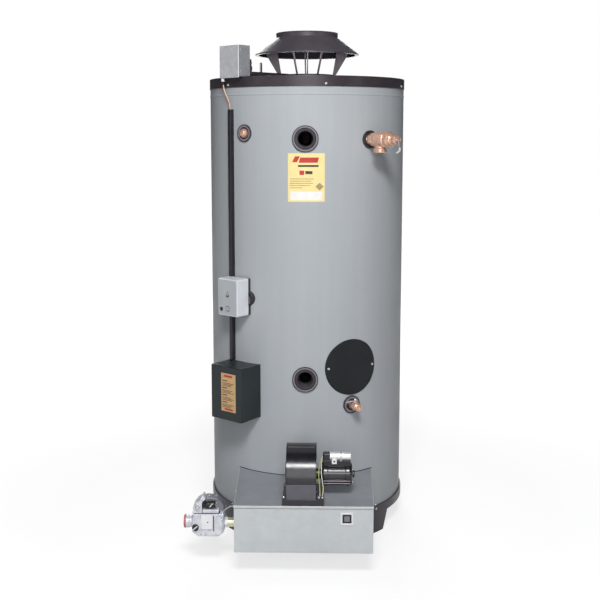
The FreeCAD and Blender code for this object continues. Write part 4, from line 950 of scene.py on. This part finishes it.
def make_raceway():
    """The wire channel's two lengths: rounded corners and the line of a snap-on lid."""
    race = Form(RACEWAY_AZIMUTH, look="raceway_enamel")
    for low, high in ((686, 868), (1008, 1631)):
        corners = [(-8.5, -371), (-8.5, -396), (-7, -397.5), (7, -397.5), (8.5, -396), (8.5, -371)]
        rings = []
        for z in (low, high):
            rings.append(race.points([(x, y, z) for x, y in filleted(corners, 1.6)]))
        race.rings(rings)
        race.block((-8.8, 8.8), (-394.6, -393.4), (low + 1, high - 1), 0.4)
    race.piece("wire_channel", "black_enamel", ["wire_raceway"])


# ---- damper ----
DAMPER_AZIMUTH = -44.0


def make_damper_case():
    """The folded galvanised cover: crisp bends, a lap up each side, a front lip and small screws. Its front
    is painted lighter and its sides darker as painted light and shade, and a white bead down one corner is
    a painted highlight.
    """
    # The sides and laps take the darker copy of the zinc sheet: painted shade.
    case = Form(DAMPER_AZIMUTH, look="galvanised_painted_shaded_side")
    case.block((-52.5, 52.5), (-403.6, -348), (1752, 1862), 1.4)
    for x in (-52.9, 51.9):
        case.block((x, x + 1.0), (-403.4, -388), (1754, 1860), 0.4)
    # The front takes the lighter copy: painted light.
    case.paint("galvanised_painted_lit_face")
    case.block((-52.5, 52.5), (-405, -403.2), (1745, 1862), 0.5)
    # A white bead down the front corner: a painted highlight on the bend.
    case.paint("sight_frame")
    case.disc(1.5, (1746, 1861.4), upright(52.2, -404.6, 0), 20, 0.4)
    case.piece("damper_case", "galvanised_sheet", ["damper_box_cover"])
    spots = [(outward(405.2, 1749, 30), 0.5)]
    for z in (1770, 1846):
        spots += [(sideways(52.6, -394, z), 0.6), (leftward(-52.6, -394, z), 0.6)]
    make_screws("damper_case_screws", spots, azimuth=DAMPER_AZIMUTH)


def make_damper_bracket():
    """The black angle beside the damper's shaft, with rounded edges and two bolts."""
    bracket = Form(DAMPER_AZIMUTH)
    bracket.block((-9, -5), (-345, -95), (1756, 1773), 0.8)
    bracket.slab(Y, [(-9, 1756), (-5.2, 1756), (-5.2, 1773), (22, 1773), (16, 1790), (12, 1830),
        (-9, 1830)], -348, 3, 0.7)
    bracket.slab(X, [(-345, 1773), (-345, 1795), (-328, 1773)], -9, 4, 0.6)
    bracket.slab(Y, [(8, 1757), (63, 1757), (63, 1764), (58, 1768), (62, 1774), (62, 1786), (56, 1790),
        (60, 1797), (57, 1812), (8, 1826)], -348, 2.4, 0.6)
    for z in (1784, 1820):
        bracket.screw(upright(4, -345, z) @ Matrix.Rotation(math.radians(-90), 4, "X"), 0.7)
    bracket.piece("damper_angle", "black_enamel", ["damper_bracket"])


def make_damper_pin():
    """A black sleeve on the damper's pin, with a pale stripe down it as a painted highlight."""
    sleeve = Form(DAMPER_AZIMUTH, look="button_plastic")
    sleeve.lathe([(0, 1770), (4.4, 1770), (4.6, 1772), (4.6, 1804), (3.4, 1807), (0, 1808)],
        upright(0, -246, 0), 28, 0.8)
    # The pale stripe is a painted highlight along the sleeve.
    sleeve.paint("sight_frame")
    sleeve.block((1.4, 3.0), (-250.9, -249.6), (1774, 1804), 0.3)
    sleeve.piece("damper_position_sleeve", "black_plastic", body="damper")


def make_conduit_fitting():
    """The white locknut and black bushing that the leads come out of."""
    place = upright(*around(399, -50.4, 0))
    fitting = Form(look="sight_frame")
    fitting.ring((4.2, 6.8), (1733, 1749.8), place, 12, 0.8)
    fitting.paint("button_plastic")
    fitting.lathe([(4.2, 1722), (5.2, 1722), (5.8, 1723), (5.8, 1733.4), (4.2, 1733.4)], place, 28, 0.5,
        closed=True)
    fitting.piece("conduit_nut_and_bush", "inlet_plastic", ["conduit_fitting"])


# ---- burner box ----
BOX_FRONT, BOX_TOP = -680.0, 266.5
BOX_HALF_FRONT, BOX_HALF_BACK = 243.0, 254.0


def make_box_top():
    """The flat top with folded lips, whose back edge follows the jacket. Its top face is painted darker as
    painted shade, and its front fold carries a painted highlight over a painted shadow line.
    """
    top = Form()
    arc = []
    for step in range(41):
        x = -BOX_HALF_BACK + 1.2 + (2 * BOX_HALF_BACK - 2.4) * step / 40
        arc.append((x, -math.sqrt((JACKET_R + 0.4) ** 2 - x * x)))
    rim = filleted([arc[-1], (BOX_HALF_FRONT, BOX_FRONT), (-BOX_HALF_FRONT, BOX_FRONT), arc[0]], 3.0)
    outline = rim + arc[1:-1]
    rings = []
    centre = Vector((0, -480))
    for inset, z in ((0.0, 258.5), (0.0, 264.3), (0.6, 265.9), (2.2, 266.5)):
        ring = [p - (p - centre).normalized() * inset for p in map(Vector, outline)]
        rings.append(top.points([(p.x, p.y, z) for p in ring]))
    inner = [p - (p - centre).normalized() * 1.6 for p in map(Vector, outline)]
    under = [top.points([(p.x, p.y, z) for p in inner]) for z in (258.5, 264.6)]
    for low, high in zip(rings, rings[1:]):
        top.skin(low, high)
    # The top face takes the darker copy of the box's paint: painted shade.
    top.paint("box_top_painted_shade")
    top.face(rings[-1])
    top.paint()
    top.skin(rings[0], under[0])
    top.skin(under[0], under[1])
    top.face(under[1])
    top.piece("box_lid_sheet", "box_sheet", ["burner_box_top"])
    gasket = Form()
    bead = [(x, y * 1.003, 267.2) for x, y in arc]
    gasket.tube(bead, 1.7, 8)
    gasket.piece("box_jacket_gasket", "black_plastic")
    fold = Form()
    # A dark strip under the top's front lip: painted shadow.
    fold.paint("grey_painted_sheen_and_shade")
    fold.block((-241, 241), (-680.3, -679.2), (257.0, 258.8), 0.4)
    # A white line along the front fold: a painted highlight.
    fold.paint("sight_frame")
    fold.tube([(-241.5, -679.5, 265.9), (241.5, -679.5, 265.9)], 0.9, 10)
    fold.paint()
    fold.block((-240.6, 240.6), (-679.6, -678.6), (104, 105.2), 0.4)
    fold.piece("box_fold_lines", "box_sheet")


def make_box_screws():
    """Screws along the side lips of the box."""
    depths = (-640, -520, -400)
    spots = [(leftward(-249.5, y, 259), 0.6) for y in depths] + [(sideways(249.5, y,
        259), 0.6) for y in depths]
    make_screws("box_screws", spots)


PORT_X, PORT_Z = 150, 223


def make_sight_port():
    """The square sight port: a raised white frame round a dark recess and a small white pane."""
    port = Form()
    rings = []
    for half, radius, rho in ((22.5, 4.0, 679), (22.5, 4.0, 682), (21.5, 3.4, 683), (16.6, 2.4, 683),
            (15.6, 2.0, 682), (15.4, 2.0, 679)):
        outline = shell_outline(half, (-half, half), radius)
        rings.append(port.points([(x + PORT_X, -rho, z + PORT_Z) for x, z in outline]))
    port.rings(rings, closed=True)
    port.paint("button_plastic")
    port.block((132.2, 167.8), (-681.2, -679.6), (205.2, 240.8), 0.4)
    port.paint("pane")
    port.block((140.6, 159.4), (-682.2, -680.8), (213.6, 232.4), 0.5)
    port.piece("sight_window", "sight_frame", ["sight_port"])


# ---- blower ----
BLOWER_LOW, BLOWER_HIGH = -62.0, 44.0
BLOWER_Y, BLOWER_Z, BLOWER_R = -562.0, 342.5, 108.0
VOLUTE_STEP = 12.0
FOOT_LOW, FOOT_HIGH = BOX_TOP, BOX_TOP + 4.0


def quarter(y, z, radius, start, steps=20):
    """A quarter turn in the YZ plane, clockwise as seen from the left, starting at an angle."""
    angles = [math.radians(start + 90 * i / steps) for i in range(steps + 1)]
    return [(y - radius * math.cos(a), z + radius * math.sin(a)) for a in angles]


def scroll_outline(inset=0.0):
    """The scroll's side view: three arcs that widen from the mouth's front wall round to its tongue."""
    radius = BLOWER_R - inset
    wide, back = radius - VOLUTE_STEP, radius - 2 * VOLUTE_STEP
    points = quarter(BLOWER_Y, BLOWER_Z, radius, 0)
    points += quarter(BLOWER_Y, BLOWER_Z + VOLUTE_STEP, wide, 90)[1:]
    points += quarter(BLOWER_Y + VOLUTE_STEP, BLOWER_Z + VOLUTE_STEP, back, 180)[1:]
    points += [(BLOWER_Y - 22 - inset, FOOT_HIGH + inset), (BLOWER_Y - radius, FOOT_HIGH + inset)]
    return points


def make_blower_case():
    """The pressed scroll: side plates, rolled seams, an outlet strip, and the guard over its air inlet. The
    outlet strip and a bead near the top are paler grey as painted reflection and painted highlight.
    """
    case = Form()
    inlet = leftward(BLOWER_LOW, BLOWER_Y, BLOWER_Z)
    seam = ((0, 1.6), (1.2, 0.2), (3.6, 0.2), (4.4, 1.6))
    sections = [(BLOWER_LOW + x, inset) for x, inset in seam]
    sections += [(BLOWER_HIGH - x, inset) for x, inset in reversed(seam)]
    rings = []
    for x, inset in sections:
        rings.append(case.points([(x, y, z) for y, z in scroll_outline(inset - 1.2)]))
    for low, high in zip(rings, rings[1:]):
        case.skin(low, high)
    case.face(rings[-1])
    case.face(rings[0])
    case.lathe([(46, -1), (46, 2.4), (44.6, 4), (43, 4), (42, 2.4), (42, -1)], inlet, 72, 0.5, closed=True)
    case.lathe([(58, -0.6), (58.8, 0.8), (62.2, 0.8), (63, -0.6)], inlet, 72, closed=True)
    # The bead near the top and the flat outlet front take a paler grey: painted highlight and painted
    # reflection.
    case.paint("blower_painted_sheen")
    y, z = quarter(BLOWER_Y, BLOWER_Z, 107.6, 76)[0]
    case.tube([(BLOWER_LOW + 6, y, z), (BLOWER_HIGH - 6, y, z)], 1.9, 10)
    case.block((BLOWER_LOW + 1.5, BLOWER_HIGH - 1.5), (-672, -669.6), (FOOT_HIGH, 340), 0.8)
    case.piece("blower_scroll", "blower_black", ["blower_housing"], sharp=30)
    eye = Form()
    eye.disc(41.8, (0.2, 0.7), inlet, 48)
    for ring in (12, 20, 28, 36):
        eye.ring((ring - 0.9, ring + 0.9), (2.6, 4.2), inlet, 48, 0.4)
    for spoke in range(4):
        angle = math.radians(45 + 90 * spoke)
        reach = (math.cos(angle), math.sin(angle))
        ends = [(BLOWER_LOW - 3.2, BLOWER_Y + r * reach[0], BLOWER_Z + r * reach[1]) for r in (3, 43)]
        eye.tube(ends, 1.3, 8)
    eye.piece("blower_inlet_guard", "blower_black")


def make_blower_rivets():
    """Screws round the scroll's side plates."""
    spots = []
    for angle in (20, 75, 130, 185, 240, 310):
        turn = math.radians(angle)
        y, z = BLOWER_Y + 78 * math.cos(turn), BLOWER_Z + 8 + 70 * math.sin(turn)
        spots += [(leftward(BLOWER_LOW, y, z), 0.6), (sideways(BLOWER_HIGH, y, z), 0.6)]
    make_screws("blower_plate_screws", spots)


def make_blower_foot():
    """The foot: a plate, a notched front band, two gussets, a round pad and screws."""
    low, high = FOOT_LOW, FOOT_HIGH
    x0, x1 = BLOWER_LOW - 13, BLOWER_HIGH + 26
    foot = Form()
    foot.block((x0, x1), (-675, -470), (low, high), 1.0)
    foot.slab(Y, [(x0, low + 0.2), (x1, low + 0.2), (x1, low + 36), (45, low + 36), (45, low + 19),
        (-63, low + 19), (-63, low + 36), (x0, low + 36)], -677, 2.5, 0.7)
    for x in (45, x1 - 2.5):
        foot.slab(X, [(-675, high), (-600, high), (-650, low + 30), (-675, low + 30)], x, 2.5, 0.7)
    foot.disc(7.5, (0, 2), upright(58, -560, high - 0.4), 24, 0.5)
    foot.piece("blower_foot_plate", "blower_black", ["blower_flange"])
    spots = [(outward(677, low + 31, x), 0.62) for x in (-69, 53, 65)]
    spots += [(upright(x, y, high), 0.8) for x in (-69, 58) for y in (-630, -490)]
    make_screws("blower_foot_screws", spots)


# ---- motor ----
MOTOR_LOW, MOTOR_HIGH, MOTOR_R = 61.0, 172.0, 42.0


def make_motor():
    """The motor: a turned casing with ribs and an end boss, a capacitor saddle and three ribs painted pale
    as painted highlights.
    """
    motor = Form()
    axis = sideways(0, BLOWER_Y, BLOWER_Z)
    a, b, r = MOTOR_LOW, MOTOR_HIGH, MOTOR_R
    motor.lathe([(6, a - 17), (18, a - 17), (18, a - 1), (30, a), (36.5, a + 0.8), (40.6, a + 4),
        (r, a + 9), (r, a + 21), (r - 0.4, a + 23), (r - 3, a + 24), (r - 3, b - 26), (r - 0.4, b - 25),
        (r, b - 23), (r, b - 12), (40.4, b - 6.4), (36, b - 2.6), (29, b - 1.2), (17, b - 1), (15, b),
        (13, b + 0.6), (13, b + 5), (11.4, b + 7), (5.6, b + 7), (5.6, b - 3), (27, b - 10), (27, a + 10),
        (6, a + 6)], axis, 96, 0.7, closed=True)
    for row in range(24):
        motor.block((r - 3.4, r - 1.0), (-2.6, 2.6), (a + 26, b - 28), 0.9, axis @ spun(15 * row))
    for row in range(16):
        for ends in ((a + 10, a + 20), (b - 22, b - 12.5)):
            motor.block((r - 0.4, r + 0.35), (-1.1, 1.1), ends, 0.3, axis @ spun(22.5 * row))
    motor.slab(X, [(-584, 376), (-588, 399), (-536, 399), (-540, 376)], a + 6, b - a - 14, 1.6)
    # Three thin ribs painted pale: painted highlight lines along the casing.
    motor.paint("painted_light_enamel")
    for angle in (-21, 19, 36):
        turn = math.radians(angle)
        rib_y, rib_z = BLOWER_Y - 41.6 * math.cos(turn), BLOWER_Z - 41.6 * math.sin(turn)
        motor.tube([(a + 8, rib_y, rib_z), (b - 9, rib_y, rib_z)], 2.2, 12)
    motor.piece("motor_casing", "blower_black", ["motor_shell"])


def make_motor_details():
    """Through bolts on the motor's end, and the small white tag below the capacitor."""
    spots = []
    for corner in range(4):
        angle = math.radians(45 + 90 * corner)
        y, z = BLOWER_Y + 31 * math.cos(angle), BLOWER_Z + 31 * math.sin(angle)
        spots.append((sideways(MOTOR_HIGH - 3, y, z), 0.8))
    make_screws("motor_bolts", spots)
    tab = Form(look="sight_frame")
    tab.block((98, 115), (-594.4, -593), (388, 407), 0.5)
    tab.block((100, 113), (-593.4, -586), (403, 405.4), 0.4)
    tab.paint("button_plastic")
    tab.block((103.6, 109.6), (-594.9, -593.6), (394, 400), 0.3)
    tab.piece("motor_tag", "pale_plastic")


def make_capacitor():
    """The capacitor's bright can with rolled beads and a strap, and the boot on its terminals."""
    axis = sideways(0, -572, 411)
    can = Form()
    can.lathe([(0, 90), (15.4, 90), (16.4, 92.5), (16.4, 96.5), (15.9, 97.5), (15.9, 160), (16.4, 161.5),
        (16.4, 163.6), (15.0, 164.4), (13.6, 163.2), (0, 163.2)], axis, 64, 0.5)
    can.paint("galvanised_sheet")
    can.ring((15.6, 16.4), (128, 133), axis, 64, 0.2)
    can.block((128, 133), (-589.4, -587.4), (397, 412), 0.5)
    can.paint("button_plastic")
    corners = filleted([(-587, 396), (-557, 396), (-557, 424), (-587, 424)], 6.0, closed=True)
    rings = []
    for x, inset in ((66.4, 5.0), (66.8, 3.0), (69, 1.0), (72, 0.2), (91, 0.0), (92, 0.6)):
        ring = []
        for corner in corners:
            inward = Vector((-572, 410)) - corner
            ring.append(corner + inward.normalized() * inset)
        rings.append(can.points([(x, p.x, p.y) for p in ring]))
    can.rings(rings)
    can.piece("run_capacitor", "capacitor_can", ["capacitor"])


# ---- leads ----
def route_curve(name, points, radius, look, body="heater"):
    """A round lead: one open NURBS spline through the route's points, in millimetres."""
    curve = bpy.data.curves.new(name, "CURVE")
    curve.dimensions = "3D"
    curve.bevel_depth = radius * MM
    curve.bevel_resolution = 4
    curve.resolution_u = 10
    curve.use_fill_caps = True
    spline = curve.splines.new("NURBS")
    spline.points.add(len(points) - 1)
    for point, spot in zip(spline.points, points):
        point.co = (spot[0] * MM, spot[1] * MM, spot[2] * MM, 1)
    spline.order_u = 3
    spline.use_endpoint_u = True
    curve.materials.append(LOOKS[look])
    made = placed(name, curve)
    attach(made, body)
    return made


LEAD_R = 1.5


DAMPER_ROUTE = ((399.0, -50.4, 1738), (399.0, -50.4, 1712), (397.0, -49.0, 1690), (393.5, -47.0, 1664),
    (390.5, -46.1, 1640), (390.0, -45.9, 1612))
GROUND_LEAD = ((69, -579.2, 402.4), (57.5, -590, 397), (53, -610, 380), (51.5, -630, 358), (54, -648, 335),
    (57, -664, 318), (56, -673, 302.5))
POWER_LEAD = ((68.4, -575.2, 412.2), (60, -592, 408), (61.5, -613, 391), (61, -628, 366), (64.5, -644, 343),
    (69, -662, 321), (65, -673.5, 302.5))
TUBE_ROUTE = ((-287, -600, 206), (-287, -600, 215), (-277, -610, 226), (-265, -622, 239), (-254, -634, 248),
    (-243.55, -643, 251))


def make_leads():
    """The two damper leads and the two motor leads."""
    damper = [[around(rho, turn + side, z) for rho, turn, z in DAMPER_ROUTE] for side in (-0.33, 0.33)]
    leads = (
        ("damper_lead_a", damper[0], "wire_red", "damper_leads"),
        ("damper_lead_b", damper[1], "wire_cream", "damper_leads"),
        ("motor_lead_a", GROUND_LEAD, "wire_green", "motor_leads"),
        ("motor_lead_b", POWER_LEAD, "wire_cream", "motor_leads"),
    )
    for name, points, look, node in leads:
        made = route_curve(name, points, LEAD_R, look)
        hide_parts(node)


def make_lead_terminals():
    """Bright ring terminals where the motor leads meet the foot."""
    terminals = Form()
    for x, y in ((56, -673), (65, -673.5)):
        terminals.lathe([(1.6, 0), (2.3, 0.6), (2.3, 7.5), (1.6, 8)], upright(x, y, 301), 16, closed=True)
    terminals.piece("lead_terminals", "screw_steel")


# ---- gas train ----
GAS_OUTLET = sideways(0, -560, 158)
GAS_INLET = sideways(0, -560, 161)


def make_gas_valve():
    """The cast valve body: a faceted block, a threaded boss, a housing in two shades and cast ribs."""
    valve = Form()
    valve.slab(Y, [(-376, 122), (-305, 122), (-284, 138), (-284, 206), (-392, 206), (-397, 180),
        (-397, 136)], -606, 92, 4.0)
    valve.slab(Y, [(-312, 128), (-290, 136), (-286, 190), (-300, 204), (-312, 196)], -614, 10, 2.6)
    valve.lathe([(12.4, -430), (19.5, -430), (22.4, -427.6), (23, -425), (23, -412), (21, -409.6),
        (21, -403), (23, -400), (23, -396), (12.4, -396)], GAS_INLET, 64, 1.0, closed=True)
    bore = [(12.4, -430)] + ridges(12.4, 11.2, -430, 2.2, 9) + [(12.4, -404), (14, -404), (14, -430)]
    valve.lathe(bore, GAS_INLET, 48, closed=True)
    valve.slab(Y, [(-396, 204), (-393, 230), (-380, 247), (-366, 256), (-360, 250), (-360, 204)], -602, 62,
        2.6)
    valve.paint("valve_shade")
    valve.slab(Y, [(-361, 204), (-361, 250), (-346, 254), (-308, 250), (-288, 226), (-284, 204)], -575.6,
        46, 2.6)
    for rib in range(6):
        x = -312 + 4.4 * rib
        valve.slab(Y, [(x, 208), (x + 2, 208), (x + 2, 244 - 3.6 * rib), (x, 246 - 3.6 * rib)], -578, 3,
            0.5)
    valve.paint()
    valve.block((-361, -302), (-600, -576), (204, 218.6), 2.2)
    for x in (-382, -352, -322):
        valve.block((x, x + 4), (-608.4, -602), (126, 142), 1.0)
    valve.block((-366, -322), (-609, -604), (148, 203), 1.2)
    valve.piece("gas_valve_casting", "cast_aluminium", ["gas_valve_body"])


def make_gas_valve_plate():
    """The valve's white plate with its dark dot, dark strips painted as shade in the valve's groove and
    gaps, the inlet's red ring and cover screws.
    """
    plate = Form(look="valve_plate")
    plate.block((-363, -325), (-610.6, -607.6), (151, 201), 0.5)
    plate.paint("button_plastic")
    plate.disc(2.4, (608, 611.2), outward(0, 177, -341), 24, 0.4)
    # Dark strips in the groove, the gap under the top, down the left edge and between the housings: painted
    # shade.
    plate.block((-321.4, -318.4), (-607.4, -605), (142, 200), 0.4)
    plate.block((-391, -299), (-605, -524), (204.4, 206.6), 0.4)
    plate.block((-397.6, -396), (-600, -520), (150, 172), 0.4)
    plate.block((-361.6, -359.8), (-602.6, -577), (208, 244), 0.5)
    plate.paint("valve_red")
    plate.lathe([(12.0, -430.6), (22.0, -430.6), (23.6, -429), (23.6, -423), (12.0, -423)], GAS_INLET, 48,
        0.4, closed=True)
    plate.piece("gas_valve_plate", "sight_frame")
    fronts = ((-389, 606, 198), (-291, 614, 184), (-291, 614, 142), (-366, 606, 130), (-366, 606, 198))
    spots = [(outward(rho, z, x), 0.6) for x, rho, z in fronts]
    spots += [(upright(x, -552, 252), 0.7) for x in (-340, -316)]
    make_screws("gas_valve_screws", spots)


def make_gas_valve_caps():
    """The regulator's cap round a dark slot, the wire cover's peak and the black slotted plug."""
    caps = Form()
    caps.lathe([(0, 601), (12, 601), (12, 607.6), (10.6, 609), (7.8, 609), (7.2, 607.4), (0, 607.4)],
        outward(0, 230, -377), 40, 0.5)
    caps.slab(Y, [(-372, 246), (-357, 246), (-353, 250), (-350, 256), (-359, 269)], -590, 40, 1.4)
    caps.paint("button_plastic")
    caps.ring((6.2, 7.4), (606, 608.4), outward(0, 230, -377), 40)
    caps.lathe([(0, 605), (12, 605), (12, 610.8), (10.6, 612), (0, 612)], outward(0, 156, -385), 40, 0.5)
    caps.paint("sight_frame")
    slash = outward(0, 156, -385) @ spun(40)
    caps.block((-10, 10), (-2, 2), (611.4, 613.8), 0.5, slash)
    caps.piece("gas_valve_trim", "cast_aluminium", ["gas_valve_caps"])


def make_gas_knob():
    """The fluted shut-off knob with its pointer bar and a white line."""
    knob = Form()
    place = sideways(0, -590, 236)
    knob.lathe([(0, -359.4), (4, -359.4), (4, -354), (8, -354), (11, -351), (12, -346), (12, -322),
        (11, -317), (8, -314.4), (0, -314)], place, 48, 1.4)
    for flute in range(18):
        turn = place @ spun(20 * flute)
        knob.block((11.2, 12.9), (-1, 1), (-345, -323), 0.5, turn)
    bar = place @ spun(-35)
    knob.block((-11, 11), (-3, 3), (-315, -310.8), 0.8, bar)
    knob.paint("sight_frame")
    knob.slab(Y, [(-336, 230), (-332, 230), (-322, 242), (-326, 242)], -604.2, 4, 0.4)
    knob.block((-9.6, 9.6), (-0.9, 0.9), (-311, -310.5), 0, bar)
    knob.piece("shut_off_knob", "button_plastic", ["gas_knob"], "gas_knob")


def make_gas_pipe():
    """The pipe nipple with its thread showing either side of a white locknut."""
    pipe = Form()
    turns = ridges(15.4, 16.7, -296, 2.2, 8)
    pipe.lathe([(0, -299), (16.0, -299)] + turns + [(16.7, -276), (16.7, 0), (0, 0)], GAS_OUTLET, 56)
    pipe.paint("valve_plate")
    pipe.lathe([(16, -284), (18.2, -284), (19.4, -282.6), (19.4, -274.4), (18.2, -273), (16, -273)],
        GAS_OUTLET, 8, 0.4, closed=True)
    pipe.piece("gas_nipple", "zinc_pipe", ["gas_pipe"])


def make_sensing_tube():
    """The thin bright tube from the valve to the box, with a compression nut at each end."""
    made = route_curve("sensing_pipe", TUBE_ROUTE, 2.2, "chrome")
    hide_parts("sensing_tube")
    nuts = Form()
    nuts.hexagon(9, 205, 213, upright(-287, -600, 0), 0.8)
    nuts.hexagon(9, -247.5, -242.6, sideways(0, -641.5, 250.4), 0.8)
    nuts.piece("sensing_pipe_nuts", "chrome")


make_camera()
make_lights()
make_world()
make_floor()
dress_cad_nodes()
make_draft_hood()
make_lid()
make_base_ring()
make_jacket_seam()
make_jacket_screws()
make_tank_spuds()
make_trim_rings()
make_port_plug()
make_relief_body()
make_relief_bonnet()
make_relief_lever()
make_drain_valve()
make_drain_handle()
make_cleanout_cover()
make_rating_label()
make_control_label()
make_thermostat_cover()
make_reset_button()
make_well_ring()
make_control_cover()
make_control_screws()
make_raceway()
make_damper_case()
make_damper_bracket()
make_damper_pin()
make_conduit_fitting()
make_box_top()
make_box_screws()
make_sight_port()
make_blower_case()
make_blower_rivets()
make_blower_foot()
make_motor()
make_motor_details()
make_capacitor()
make_leads()
make_lead_terminals()
make_gas_valve()
make_gas_valve_plate()
make_gas_valve_caps()
make_gas_knob()
make_gas_pipe()
make_sensing_tube()

bpy.context.scene.view_settings.view_transform = "Standard"
